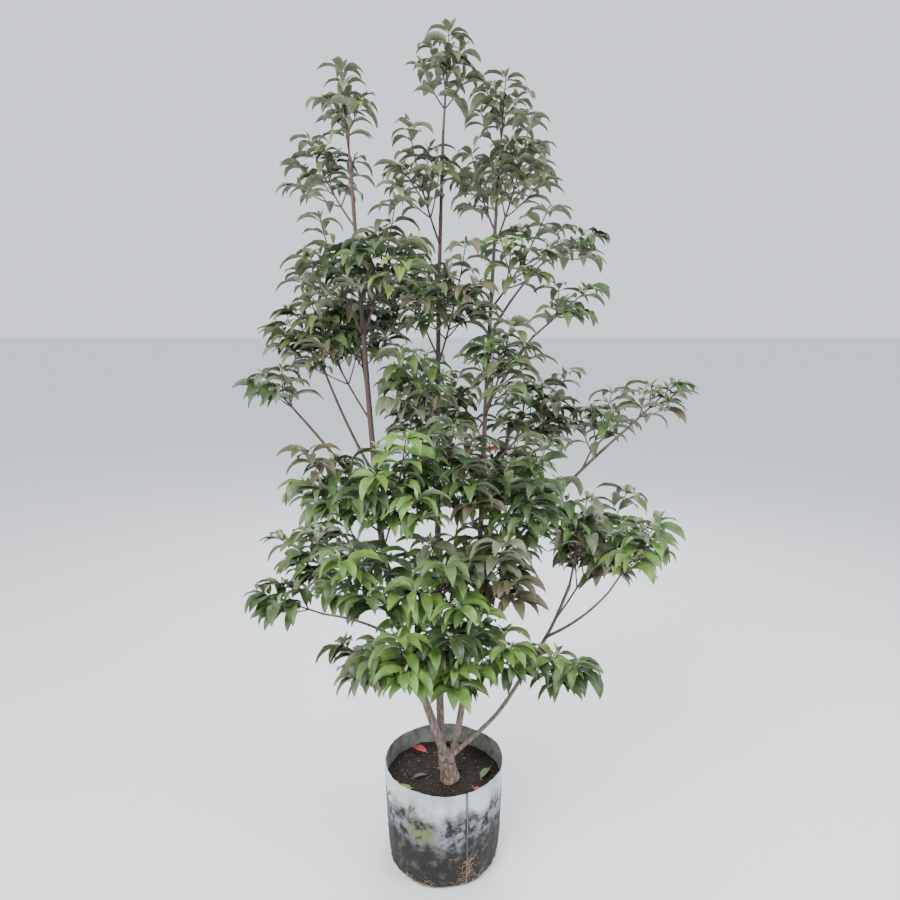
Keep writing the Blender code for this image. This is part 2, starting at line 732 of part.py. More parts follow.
def leaf_finish(name, height):
    """Bronze leaves high in the crown, bright ones in the sheltered front, else green."""
    if name in BRIGHT_MASSES:
        return "leaf_bright"
    return "leaf_bronze" if height > BRONZE_HEIGHT else "leaf_green"


def build_masses(paths, other_shapes):
    """All foliage masses, grown side by side so that each keeps to its own space."""
    stems = {mass.name: tip_stem(mass, paths[mass.limb]) for mass in TIP_MASSES}
    stems.update({mass.name: side_stem(mass, paths[mass.limb]) for mass in SIDE_MASSES})
    space = Space()
    for shape in other_shapes:
        space.add(shape)
    for name, stem in stems.items():
        space.axes[name] = stem.path.points
        space.add(stem.shape, name)
    generators = {name: random.Random("dogwood " + name) for name in stems}
    twigs = {}
    sites = {}
    for name, stem in stems.items():
        twigs[name], sites[name] = grow_twigs(space, name, stem, generators[name])
    leaves = {name: [] for name in stems}
    for turn in range(max(map(len, sites.values()))):
        for name, places in sites.items():
            if turn < len(places):
                leaf = try_leaf(space, name, places[-1 - turn], generators[name])
                if leaf:
                    leaves[name].append(leaf)
    for name, stem in stems.items():
        shapes = [twig.shape for twig in twigs[name]] + leaves[name]
        fuse(name, shapes, leaf_finish(name, stem.path.points[-1].z))


def main():
    """Build the bag, the soil and the whole plant."""
    clear_scene()
    shapes = [build_bag(), build_soil()]
    paths = {stem.name: stem_path(stem) for stem in STEMS}
    shapes += build_trunk(paths)
    shapes += build_stems(paths)
    shapes += build_boughs(paths)
    build_masses(paths, shapes)


main()
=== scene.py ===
"""Looks of an evergreen dogwood with several stems in a nursery grow bag.

Units are metres and +Z is up, with the origin in the middle of the bag's flat underside.
The plant's front faces -Y. Azimuths are degrees from +X towards +Y, and a rise is the
angle above level. The file is laid out as an add-on, with an operator for each piece.
"""

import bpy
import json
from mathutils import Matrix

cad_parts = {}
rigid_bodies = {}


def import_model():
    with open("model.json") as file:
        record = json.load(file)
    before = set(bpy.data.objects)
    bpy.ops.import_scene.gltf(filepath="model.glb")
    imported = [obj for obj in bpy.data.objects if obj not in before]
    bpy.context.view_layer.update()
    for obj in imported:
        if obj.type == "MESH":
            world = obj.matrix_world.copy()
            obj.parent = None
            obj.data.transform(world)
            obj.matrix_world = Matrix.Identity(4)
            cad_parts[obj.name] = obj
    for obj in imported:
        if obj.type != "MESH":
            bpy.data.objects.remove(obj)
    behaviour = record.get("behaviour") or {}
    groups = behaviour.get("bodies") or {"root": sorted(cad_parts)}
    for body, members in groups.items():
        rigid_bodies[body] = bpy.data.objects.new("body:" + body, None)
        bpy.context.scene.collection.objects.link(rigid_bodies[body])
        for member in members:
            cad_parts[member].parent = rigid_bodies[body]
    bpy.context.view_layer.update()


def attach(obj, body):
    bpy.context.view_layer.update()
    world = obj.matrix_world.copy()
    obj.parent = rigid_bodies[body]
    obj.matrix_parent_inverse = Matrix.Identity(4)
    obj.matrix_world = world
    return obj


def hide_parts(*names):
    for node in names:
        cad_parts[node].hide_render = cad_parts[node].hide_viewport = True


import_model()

import json
import math
import random
from collections import namedtuple

import bmesh
import bpy
import numpy as np
from bpy.props import FloatProperty, FloatVectorProperty, IntProperty, PointerProperty
from mathutils import Matrix, Vector, noise

bl_info = {
    "name": "Evergreen dogwood in a grow bag",
    "version": (1, 0, 0),
    "blender": (4, 5, 0),
    "location": "3D View > Sidebar > Dogwood",
    "description": "Dresses the plant's frame with bark, twigs, leaves, soil and bag",
    "category": "Object",
}

BODY = "root"
UP = Vector((0, 0, 1))

# Stems by their guide points, and boughs by where and how they leave their stem
Stem = namedtuple("Stem", "name foot_radius tip_radius prong guides")
STEMS = (
    Stem("stem_left", 0.0125, 0.0044, 0.070, (
        (0.003, -0.022, 0.330), (-0.012, -0.032, 0.388), (-0.095, -0.040, 0.658),
        (-0.159, -0.048, 0.936), (-0.188, -0.055, 1.300), (-0.209, -0.055, 1.657),
        (-0.226, -0.050, 1.960))),
    Stem("stem_centre", 0.0118, 0.0038, 0.070, (
        (0.002, -0.012, 0.328), (-0.007, 0.002, 0.390), (-0.012, 0.030, 0.610),
        (-0.015, 0.045, 0.950), (-0.014, 0.060, 1.400), (-0.008, 0.066, 1.760),
        (0.002, 0.062, 2.080))),
    Stem("stem_right", 0.0105, 0.0038, 0.066, (
        (0.010, -0.014, 0.318), (0.036, -0.008, 0.362), (0.066, 0.002, 0.560),
        (0.100, 0.012, 0.868), (0.117, 0.018, 1.350), (0.132, 0.020, 1.700),
        (0.144, 0.016, 1.960))),
    Stem("stem_low", 0.0070, 0.0042, 0.055, (
        (0.016, -0.020, 0.312), (0.046, -0.028, 0.352), (0.150, -0.042, 0.470),
        (0.222, -0.048, 0.590), (0.305, -0.044, 0.745), (0.356, -0.036, 0.871))),
)
Bough = namedtuple("Bough", "name parent height azimuth rise bend length radius")
BOUGHS = (
    Bough("bough_left_low", "stem_left", 0.690, 189, 42, -32, 0.26, 0.0045),
    Bough("bough_left_wide", "stem_left", 1.075, 200, 59, -8, 0.35, 0.0050),
    Bough("bough_left_steep", "stem_left", 1.185, 148, 53, 12, 0.34, 0.0045),
    Bough("bough_left_back", "stem_left", 0.700, 127, 33, 12, 0.34, 0.0045),
    Bough("bough_centre_back", "stem_centre", 0.740, 77, 33, 10, 0.31, 0.0045),
    Bough("bough_right_high", "stem_right", 1.555, 23, 61, -20, 0.26, 0.0040),
    Bough("bough_right_upper", "stem_right", 1.365, 330, 57, -4, 0.24, 0.0045),
    Bough("bough_right_wide", "stem_right", 0.850, 1, 54, -12, 0.62, 0.0058),
    Bough("bough_low_outer", "stem_low", 0.720, 338, 32, 24, 0.24, 0.0042),
)
BOUGH_TAPER = 0.62
STEM_STEP = 0.012
STEM_SIDES = 16
STEM_OVERLAP = 0.012
BOUGH_STEPS = 28
BOUGH_SIDES = 12

# Foliage masses: on the tip of a limb, or from its side at a height
TipMass = namedtuple("TipMass", "name limb turn lift length")
TIP_MASSES = (
    TipMass("leaves_left_top", "stem_left", 0, 0, 0.24),
    TipMass("leaves_centre_top", "stem_centre", 0, 0, 0.24),
    TipMass("leaves_right_top", "stem_right", 0, 0, 0.24),
    TipMass("leaves_low_top", "stem_low", 0, 12, 0.25),
    TipMass("leaves_left_low_tip", "bough_left_low", 0, 12, 0.17),
    TipMass("leaves_left_wide_tip", "bough_left_wide", 0, 0, 0.13),
    TipMass("leaves_left_steep_tip", "bough_left_steep", 6, -18, 0.16),
    TipMass("leaves_left_back_tip", "bough_left_back", 0, 0, 0.24),
    TipMass("leaves_centre_back_tip", "bough_centre_back", 0, 0, 0.24),
    TipMass("leaves_right_high_tip", "bough_right_high", 0, -16, 0.17),
    TipMass("leaves_right_upper_tip", "bough_right_upper", 0, -14, 0.18),
    TipMass("leaves_right_wide_tip", "bough_right_wide", 0, 2, 0.17),
    TipMass("leaves_low_outer_tip", "bough_low_outer", 0, 6, 0.23),
)
SideMass = namedtuple("SideMass", "name limb height azimuth rise length")
SIDE_MASSES = (
    SideMass("leaves_left_crest", "stem_left", 1.830, 135, 42, 0.30),
    SideMass("leaves_left_shoulder", "stem_left", 1.560, 239, 51, 0.31),
    SideMass("leaves_left_upper", "stem_left", 1.340, 149, 50, 0.44),
    SideMass("leaves_left_inner_high", "stem_left", 1.560, 304, 50, 0.35),
    SideMass("leaves_left_back_high", "stem_left", 1.380, 106, 44, 0.48),
    SideMass("leaves_left_slope", "stem_left", 1.030, 231, 37, 0.35),
    SideMass("leaves_left_middle", "stem_left", 0.900, 156, -1, 0.36),
    SideMass("leaves_left_front", "stem_left", 0.980, 287, 41, 0.46),
    SideMass("leaves_left_belly", "stem_left", 0.830, 250, 27, 0.36),
    SideMass("leaves_left_skirt", "stem_left", 0.560, 191, 25, 0.26),
    SideMass("leaves_left_front_low", "stem_left", 0.600, 264, 32, 0.36),
    SideMass("leaves_centre_crest", "stem_centre", 1.800, 240, 51, 0.30),
    SideMass("leaves_centre_left_high", "stem_centre", 1.500, 121, 44, 0.35),
    SideMass("leaves_centre_right_high", "stem_centre", 1.480, 289, 44, 0.37),
    SideMass("leaves_centre_left", "stem_centre", 1.270, 245, 40, 0.33),
    SideMass("leaves_centre_back", "stem_centre", 1.130, 97, 40, 0.48),
    SideMass("leaves_centre_front", "stem_centre", 1.060, 278, 33, 0.44),
    SideMass("leaves_centre_belly", "stem_centre", 0.790, 273, 23, 0.47),
    SideMass("leaves_centre_skirt", "stem_centre", 0.600, 277, 27, 0.37),
    SideMass("leaves_right_crest_in", "stem_right", 1.830, 111, 44, 0.27),
    SideMass("leaves_right_crest_out", "stem_right", 1.790, 305, 55, 0.31),
    SideMass("leaves_right_shoulder", "stem_right", 1.630, 307, 38, 0.30),
    SideMass("leaves_right_front_high", "stem_right", 1.340, 284, 41, 0.32),
    SideMass("leaves_right_slope", "stem_right", 1.180, 32, 33, 0.39),
    SideMass("leaves_right_inner", "stem_right", 0.925, 314, 48, 0.44),
    SideMass("leaves_right_back", "stem_right", 0.970, 68, 27, 0.46),
    SideMass("leaves_right_front", "stem_right", 0.840, 279, 27, 0.39),
    SideMass("leaves_right_skirt", "stem_right", 0.650, 290, 17, 0.30),
    SideMass("leaves_right_wide_side", "bough_right_wide", 1.190, 49, 42, 0.26),
    SideMass("leaves_low_side", "stem_low", 0.770, 35, 40, 0.43),
    SideMass("leaves_low_hanging", "stem_low", 0.610, 304, 20, 0.23),
)
MASS_NAMES = [mass.name for mass in TIP_MASSES + SIDE_MASSES]
BRIGHT_MASSES = ("leaves_left_front", "leaves_centre_belly", "leaves_right_skirt", "leaves_left_front_low")

# Growth of a mass: a rule carried on to finer twigs
UPTURN = 20.0
STEEPEST_RISE = 86.0
BARE_SHARE = 0.26
BRANCHING_SHARE = 0.62
SIDE_SHARE = 0.60
SIDE_SHORTEST = 0.070
SIDE_ANGLE = 42.0
SIDE_BARE_SHARE = 0.34
FINE_SHARE = 0.50
FINE_LONGEST = 0.11
FINE_FROM = 0.15
FINE_BARE_SHARE = 0.55
TWIG_STEP = 0.018
TWIG_FOOT_RADIUS = 0.0031
SIDE_FOOT_RADIUS = 0.0022
FINE_FOOT_RADIUS = 0.0016
TWIG_TIP_RADIUS = 0.0011
STOUTER = 1.2
TIP_STEM_STEPS = 12
SIDE_STEM_STEPS = 18
SPACE_TOLERANCE = 0.06
LIMB_ROOM = 0.010
TRIES = 4

# Leaves: angle to the twig, first rise, how far they arch over
LEAF_ANGLE = 58.0
ROSETTE_ANGLE = 48.0
LEAF_RISE = 26.0
LEAF_ARCH = 92.0
LEAF_WIDTH_SHARE = 0.40
LEAF_FOLD = 24.0
LEAF_THICKNESS = 0.0006
PETIOLE = 0.007
PETIOLE_RADIUS = 0.0008
STATIONS = (0.0, 0.07, 0.18, 0.32, 0.47, 0.62, 0.76, 0.89, 1.0)
ACROSS = (-1.0, -0.5, 0.0, 0.5, 1.0)
MOST_LEAVES = 1700

# Kinds of leaf, their slots, and their shares in bright masses and elsewhere above a height
KINDS = ("dark", "green", "bright", "grey", "bronze", "young", "red")
KIND_SLOTS = {"dark": "leaf_green", "green": "leaf_green", "grey": "leaf_green", "bright": "leaf_bright",
              "young": "leaf_bright", "bronze": "leaf_bronze", "red": "leaf_bronze"}
BRIGHT_SHARES = (0.10, 0.32, 0.46, 0.08, 0.03, 0.0, 0.01)
SHARES_ABOVE = (
    (1.75, (0.30, 0.18, 0.02, 0.17, 0.33, 0.0, 0.0)),
    (1.25, (0.34, 0.30, 0.05, 0.15, 0.16, 0.0, 0.0)),
    (-math.inf, (0.24, 0.42, 0.19, 0.10, 0.04, 0.0, 0.01)),
)

# Bag: its form, its film, its seam and the algae beside it
BAG_HEIGHT = 0.307
BAG_RIM_RADIUS = 0.175
BAG_FOOT_RADIUS = 0.163
BAG_BULGE = 0.004
BAG_DENT = 0.006
BAG_DENT_AZIMUTH = 253.0
BAG_SWAY = 0.002
FILM_SIDES = 220
OUTER_ROWS = 70
INNER_ROWS = 16
FILM_THICKNESS = 0.0013
HEM_HEIGHT = 0.012
HEM_DEPTH = 0.008
SEAM_AZIMUTH = 293.0
SEAM_RIDGE = 0.0016
SEAM_SPREAD = 0.014
STITCHES = 46
FIRST_STITCH = 0.008
STITCH_SPACING = 0.0064
STITCH_LENGTH = 0.0044
OUTSIDE = 0.0008
ALGAE_PLACE = (-0.062, -0.160, 0.190)

# Clumps of fine roots: azimuth, its spread, lowest and highest start, how many
ROOT_CLUMPS = ((297, 5, 0.012, 0.120, 46), (243, 6, 0.004, 0.020, 44), (270, 22, 0.004, 0.030, 22))
ROOT_STEP = 0.0034

# Soil and what lies on it
SOIL_HEIGHT = 0.249
SOIL_SINK = 0.004
SOIL_RINGS = 58
SOIL_SIDES = 150
SOIL_CLEARANCE = 0.0022
LINING_BELOW_SOIL = 0.012
CRUMB_REACH = 0.167
FallenLeaf = namedtuple("FallenLeaf", "kind x y azimuth length")
FALLEN_LEAVES = (
    FallenLeaf("bright", -0.085, -0.060, 200, 0.082),
    FallenLeaf("young", -0.125, -0.085, 120, 0.060),
    FallenLeaf("grey", -0.070, -0.105, 250, 0.070),
    FallenLeaf("dark", -0.095, -0.020, 20, 0.050),
    FallenLeaf("red", 0.085, -0.055, 300, 0.070),
    FallenLeaf("green", 0.110, -0.030, 60, 0.064),
    FallenLeaf("bronze", 0.050, 0.095, 110, 0.072),
    FallenLeaf("red", -0.050, 0.100, 150, 0.060),
)

# Stump with its prongs and the knobs of pruned stubs
STUMP_AXIS = (
    (0.020, -0.020, 0.2493), (0.016, -0.020, 0.275), (0.010, -0.019, 0.305), (0.004, -0.018, 0.338),
)
STUMP_RADII = (0.031, 0.0255, 0.0245, 0.0211)
STUMP_STEP = 0.004
STUMP_SIDES = 32
PRONG_STEP = 0.006
PRONG_SIDES = 20
PRONG_SWELL = 0.22
KNOBS = ((0.000, -0.038, 0.328), (0.024, -0.034, 0.322))
KNOB_RADIUS = 0.011
STUMP_VOXEL = 0.0015
OLD_BARK_TOP = 0.375
OLD_BARK_FADE = 0.05

# Camera at the photo's viewing angle, and the soft lights with their share of the key's power
CAMERA_PLACE = (0.02, -1.827, 1.602)
CAMERA_TILT = 10.9
CAMERA_LENS = 27.04
CAMERA_SENSOR = 36.0
FLOOR_HALF = 60.0
LIGHTS_AIM = Vector((0, 0, 1.1))
Lamp = namedtuple("Lamp", "name place size share colour")
LAMPS = (
    Lamp("key_light", (-1.9, -2.6, 3.6), 2.6, 1.0, (1.0, 0.98, 0.95)),
    Lamp("fill_light", (2.8, -1.4, 2.4), 2.4, 0.4, (0.92, 0.96, 1.0)),
    Lamp("back_light", (0.6, 2.8, 3.4), 2.4, 0.5, (0.95, 0.98, 1.0)),
)

Path = namedtuple("Path", "points radii")
Spot = namedtuple("Spot", "root azimuth rise arch length width roll kind")


class LeafSettings(bpy.types.PropertyGroup):
    """Sizes and colours of the leaves."""
    low_length: FloatProperty(name="Low leaf length", description="Leaf length at the foot of the crown",
                              default=0.099, unit="LENGTH")
    high_length: FloatProperty(name="High leaf length", description="Leaf length at the top of the crown",
                               default=0.076, unit="LENGTH")
    spacing: FloatProperty(name="Pair spacing", description="Distance between two pairs of leaves on a twig",
                           default=0.036, unit="LENGTH")
    dark: FloatVectorProperty(name="Dark green", description="Upper side of old leaves",
                              default=(0.040, 0.072, 0.022), subtype="COLOR")
    green: FloatVectorProperty(name="Green", description="Upper side of most leaves",
                               default=(0.070, 0.122, 0.033), subtype="COLOR")
    bright: FloatVectorProperty(name="Bright green", description="Upper side of sheltered leaves",
                                default=(0.125, 0.230, 0.045), subtype="COLOR")
    grey: FloatVectorProperty(name="Grey green", description="Upper side of dull leaves",
                              default=(0.125, 0.155, 0.085), subtype="COLOR")
    bronze: FloatVectorProperty(name="Bronze", description="Upper side of leaves tinted by the cold",
                                default=(0.098, 0.088, 0.046), subtype="COLOR")
    young: FloatVectorProperty(name="Young", description="Upper side of the newest leaves",
                               default=(0.300, 0.330, 0.150), subtype="COLOR")
    red: FloatVectorProperty(name="Red", description="Upper side of dying leaves",
                             default=(0.300, 0.035, 0.028), subtype="COLOR")
    under: FloatVectorProperty(name="Underside", description="Underside of the leaves",
                               default=(0.190, 0.225, 0.135), subtype="COLOR")


class BarkSettings(bpy.types.PropertyGroup):
    """Relief and colours of the bark."""
    relief: FloatProperty(name="Relief", description="Height of the bark's wrinkles on the stump",
                          default=0.0012, unit="LENGTH")
    stump: FloatVectorProperty(name="Stump", description="Old bark of the stump",
                               default=(0.300, 0.245, 0.200), subtype="COLOR")
    stem: FloatVectorProperty(name="Stem", description="Bark of the stems",
                              default=(0.185, 0.130, 0.110), subtype="COLOR")
    twig: FloatVectorProperty(name="Twig", description="Bark of boughs and twigs",
                              default=(0.085, 0.045, 0.043), subtype="COLOR")


class BagSettings(bpy.types.PropertyGroup):
    """Colours and creases of the grow bag."""
    crease: FloatProperty(name="Crease", description="Height of the film's creases",
                          default=0.0032, unit="LENGTH")
    pale: FloatVectorProperty(name="Pale band", description="Faded film under the rim",
                              default=(0.520, 0.560, 0.600), subtype="COLOR")
    film: FloatVectorProperty(name="Film", description="Dark film of the lower part",
                              default=(0.020, 0.019, 0.019), subtype="COLOR")
    mud: FloatVectorProperty(name="Mud", description="Dried mud on the film",
                             default=(0.098, 0.082, 0.066), subtype="COLOR")
    algae: FloatVectorProperty(name="Algae", description="Green film of algae",
                               default=(0.120, 0.170, 0.060), subtype="COLOR")
    inside: FloatVectorProperty(name="Inside", description="Inner side of the film",
                                default=(0.180, 0.185, 0.160), subtype="COLOR")


class SoilSettings(bpy.types.PropertyGroup):
    """Relief and colours of the soil."""
    relief: FloatProperty(name="Relief", description="Height of the soil's lumps",
                          default=0.006, unit="LENGTH")
    crumbs: IntProperty(name="Crumbs", description="How many crumbs lie on the soil",
                        default=2200, min=0)
    colour: FloatVectorProperty(name="Soil", description="Moist potting soil",
                                default=(0.015, 0.011, 0.008), subtype="COLOR")


class StageSettings(bpy.types.PropertyGroup):
    """Floor and light."""
    floor: FloatVectorProperty(name="Floor", description="Pale plain floor",
                               default=(0.78, 0.79, 0.80), subtype="COLOR")
    daylight: FloatProperty(name="Daylight", description="Strength of the soft light from all round",
                            default=1.25, min=0.0)
    key: FloatProperty(name="Key light", description="Power of the large soft light in front",
                       default=240.0, min=0.0, unit="POWER")


# Paths

def heading(azimuth, rise):
    """Unit vector for an azimuth and a rise in degrees."""
    around = math.radians(azimuth)
    up = math.radians(rise)
    return Vector((math.cos(around) * math.cos(up), math.sin(around) * math.cos(up), math.sin(up)))


def angles_of(direction):
    """Azimuth and rise in degrees of a direction."""
    level = math.hypot(direction.x, direction.y)
    return math.degrees(math.atan2(direction.y, direction.x)), math.degrees(math.atan2(direction.z, level))


def smooth_points(guides, step):
    """Points about a step apart on a smooth curve through the guide points."""
    guides = [Vector(g) for g in guides]
    ends = [2 * guides[0] - guides[1]] + guides + [2 * guides[-1] - guides[-2]]
    points = [guides[0]]
    for a, b, c, d in zip(ends, ends[1:], ends[2:], ends[3:]):
        count = max(1, round((c - b).length / step))
        for k in range(1, count + 1):
            t = k / count
            points.append(0.5 * (2 * b + (c - a) * t + (2 * a - 5 * b + 4 * c - d) * t ** 2
                                 + (3 * b - a - 3 * c + d) * t ** 3))
    return points


def bending_points(start, azimuth, rise, bend, length, count):
    """Points of a limb whose rise changes evenly along it."""
    points = [start]
    for k in range(count):
        t = (k + 0.5) / count
        points.append(points[-1] + heading(azimuth, rise + bend * t) * (length / count))
    return points


def distances_along(points):
    """Distance of each point from the first, along the path."""
    total = [0.0]
    for a, b in zip(points, points[1:]):
        total.append(total[-1] + (b - a).length)
    return total


def tapered(points, foot_radius, tip_radius):
    """A path whose radius falls evenly from its foot to its tip."""
    along = distances_along(points)
    return Path(points, [foot_radius + (tip_radius - foot_radius) * s / along[-1] for s in along])


def place_along(path, distance):
    """Point, tangent and radius at a distance from a path's foot."""
    left = distance
    for k in range(1, len(path.points)):
        low, high = path.points[k - 1], path.points[k]
        step = (high - low).length
        if left <= step or k == len(path.points) - 1:
            t = min(left / step, 1.0)
            radius = path.radii[k - 1] + (path.radii[k] - path.radii[k - 1]) * t
            return low.lerp(high, t), (high - low).normalized(), radius
        left -= step


def place_at_height(path, height):
    """Point, tangent and radius of a rising limb at a height."""
    for k in range(1, len(path.points)):
        low, high = path.points[k - 1], path.points[k]
        if low.z <= height <= high.z:
            t = (height - low.z) / (high.z - low.z)
            radius = path.radii[k - 1] + (path.radii[k] - path.radii[k - 1]) * t
            return low.lerp(high, t), (high - low).normalized(), radius
    raise RuntimeError("height %.3f is off the limb" % height)


def tilted(direction, roll, angle):
    """Direction at an angle from a twig and rolled about it, with its part square to the twig."""
    side = Matrix.Rotation(roll, 3, direction) @ direction.orthogonal().normalized()
    tilt = math.radians(angle)
    return direction * math.cos(tilt) + side * math.sin(tilt), side


def swing(attempt, step):
    """Turn of an attempt: none at first, then to one side and the other, ever further."""
    return (attempt + 1) // 2 * (step if attempt % 2 else -step)


def part_of(path, first, last):
    """The part of a path between two distances from its foot."""
    kept = [k for k, s in enumerate(distances_along(path.points)) if first <= s <= last]
    return Path([path.points[k] for k in kept], [path.radii[k] for k in kept])


def limb_paths():
    """Paths of the stems and boughs."""
    paths = {}
    for stem in STEMS:
        points = smooth_points(stem.guides, STEM_STEP)
        paths[stem.name] = tapered(points, stem.foot_radius, stem.tip_radius)
    for bough in BOUGHS:
        centre, _, _ = place_at_height(paths[bough.parent], bough.height)
        points = bending_points(centre, bough.azimuth, bough.rise, bough.bend, bough.length, BOUGH_STEPS)
        paths[bough.name] = tapered(points, bough.radius, bough.radius * BOUGH_TAPER)
    return paths


# Meshes from arrays

def mesh_object(name, verts, faces, face_materials=None, uvs=None):
    """A mesh object from an array of corners and a list of arrays of equal-sided faces."""
    mesh = bpy.data.meshes.new(name)
    loops = np.concatenate([f.reshape(-1) for f in faces]).astype(np.int32)
    sizes = np.concatenate([np.full(len(f), f.shape[1]) for f in faces])
    starts = np.concatenate([[0], np.cumsum(sizes)[:-1]]).astype(np.int32)
    mesh.vertices.add(len(verts))
    mesh.vertices.foreach_set("co", np.asarray(verts, np.float32).reshape(-1))
    mesh.loops.add(len(loops))
    mesh.loops.foreach_set("vertex_index", loops)
    mesh.polygons.add(len(starts))
    mesh.polygons.foreach_set("loop_start", starts)
    if face_materials is not None:
        mesh.polygons.foreach_set("material_index", face_materials.astype(np.int32))
    mesh.update(calc_edges=True)
    if uvs is not None:
        layer = mesh.uv_layers.new(name="UVMap")
        layer.data.foreach_set("uv", np.asarray(uvs, np.float32)[loops].reshape(-1))
    mesh.validate()
    mesh.shade_smooth()
    thing = bpy.data.objects.new(name, mesh)
    bpy.context.scene.collection.objects.link(thing)
    return thing


def rings_along(path, sides):
    """Rings of corners along a path, carried on without twist."""
    points = path.points
    last = len(points) - 1
    tangents = [(points[min(k + 1, last)] - points[max(k - 1, 0)]).normalized() for k in range(last + 1)]
    side = tangents[0].orthogonal().normalized()
    around = np.arange(sides) * 2 * math.pi / sides
    rings = []
    for k, (point, radius, tangent) in enumerate(zip(points, path.radii, tangents)):
        if k:
            side = tangents[k - 1].rotation_difference(tangent) @ side
            side = (side - tangent * side.dot(tangent)).normalized()
        other = tangent.cross(side)
        ring = np.outer(np.cos(around), side) + np.outer(np.sin(around), other)
        rings.append(np.array(point) + radius * ring)
    return np.array(rings)


class Bundle:
    """Many tubes gathered into one mesh."""

    def __init__(self):
        self.verts = []
        self.quads = []
        self.tris = []
        self.count = 0

    def add_rings(self, rings):
        """A closed tube through rings, with a point at either end."""
        steps, sides = rings.shape[:2]
        ring = np.arange(sides)
        after = (ring + 1) % sides
        foot, tip = steps * sides, steps * sides + 1
        for k in range(steps - 1):
            low, high = k * sides, (k + 1) * sides
            self.quads.append(np.stack([low + ring, low + after, high + after, high + ring], 1) + self.count)
        last = (steps - 1) * sides
        self.tris.append(np.stack([np.full(sides, foot), after, ring], 1) + self.count)
        self.tris.append(np.stack([np.full(sides, tip), last + ring, last + after], 1) + self.count)
        self.verts += [rings.reshape(-1, 3), rings[0].mean(0)[None], rings[-1].mean(0)[None]]
        self.count += steps * sides + 2

    def add_path(self, path, sides):
        """A closed tube along a path."""
        self.add_rings(rings_along(path, sides))

    def make(self, name):
        """The joined mesh."""
        faces = [np.concatenate(self.quads), np.concatenate(self.tris)]
        return mesh_object(name, np.concatenate(self.verts), faces)


def dress(thing, slot, materials, *nodes):
    """Make a mesh a piece: it rides on the plant's body and stands for CAD nodes. Its slot is not used."""
    for material in materials:
        thing.data.materials.append(material)
    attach(thing, BODY)
    if nodes:
        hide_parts(*nodes)


# Materials

def rgba(colour):
    """A colour with full alpha."""
    return (*colour, 1.0)


def scaled(colour, factor, lift=0.0):
    """A lighter or darker colour."""
    return tuple(min(1.0, c * factor + lift) for c in colour)


class Finish:
    """A material in the making, with short calls for the nodes that the finishes share."""

    def __init__(self, name, roughness, specular=0.5):
        self.material = bpy.data.materials.new(name)
        self.material.use_nodes = True
        self.tree = self.material.node_tree
        self.shader = self.tree.nodes["Principled BSDF"]
        self.shader.inputs["Roughness"].default_value = roughness
        self.shader.inputs["Specular IOR Level"].default_value = specular

    def add(self, kind, **values):
        """A node whose settings and inputs have the given values."""
        node = self.tree.nodes.new(kind)
        for key, value in values.items():
            if hasattr(node, key):
                setattr(node, key, value)
            else:
                node.inputs[key].default_value = value
        return node

    def feed(self, socket, value):
        """Set an input to a value, or link it to an output."""
        if isinstance(value, bpy.types.NodeSocket):
            self.tree.links.new(value, socket)
        else:
            socket.default_value = value

    def coordinates(self, kind="Object"):
        """Coordinates of the object or of its UV map."""
        return self.add("ShaderNodeTexCoord").outputs[kind]

    def axes(self, where):
        """The three parts of coordinates."""
        node = self.add("ShaderNodeSeparateXYZ")
        self.feed(node.inputs["Vector"], where)
        return node.outputs

    def stretched(self, where, scale):
        """Coordinates stretched by a scale on each axis."""
        node = self.add("ShaderNodeMapping", Scale=scale)
        self.feed(node.inputs["Vector"], where)
        return node.outputs["Vector"]

    def noise(self, where, scale, detail=4.0, roughness=0.55):
        """A noise value on coordinates."""
        node = self.add("ShaderNodeTexNoise", Scale=scale, Detail=detail, Roughness=roughness)
        self.feed(node.inputs["Vector"], where)
        return node.outputs["Fac"]

    def calculated(self, operation, first, second=0.0):
        """The result of a sum on outputs or numbers."""
        node = self.add("ShaderNodeMath", operation=operation)
        self.feed(node.inputs[0], first)
        self.feed(node.inputs[1], second)
        return node.outputs[0]

    def times(self, first, second):
        """The product of two outputs or numbers."""
        return self.calculated("MULTIPLY", first, second)

    def plus(self, first, second):
        """The sum of two outputs or numbers."""
        return self.calculated("ADD", first, second)

    def stepped(self, value, low, high):
        """A share that runs smoothly from 0 to 1 as a value goes from low to high."""
        node = self.add("ShaderNodeMapRange", interpolation_type="SMOOTHSTEP")
        self.feed(node.inputs["Value"], value)
        node.inputs["From Min"].default_value = low
        node.inputs["From Max"].default_value = high
        return node.outputs["Result"]

    def mixed(self, share, low, high):
        """A mix of two colours or outputs by a share."""
        node = self.add("ShaderNodeMix", data_type="RGBA")
        self.feed(node.inputs["Factor"], share)
        for value, socket in ((low, node.inputs[6]), (high, node.inputs[7])):
            self.feed(socket, value if isinstance(value, bpy.types.NodeSocket) else rgba(value))
        return node.outputs[2]

    def done(self, colour, height, strength, distance):
        """The material with its colour, and with relief from a height."""
        self.feed(self.shader.inputs["Base Color"], colour)
        bump = self.add("ShaderNodeBump", Strength=strength, Distance=distance)
        self.feed(bump.inputs["Height"], height)
        self.feed(self.shader.inputs["Normal"], bump.outputs["Normal"])
        return self.material


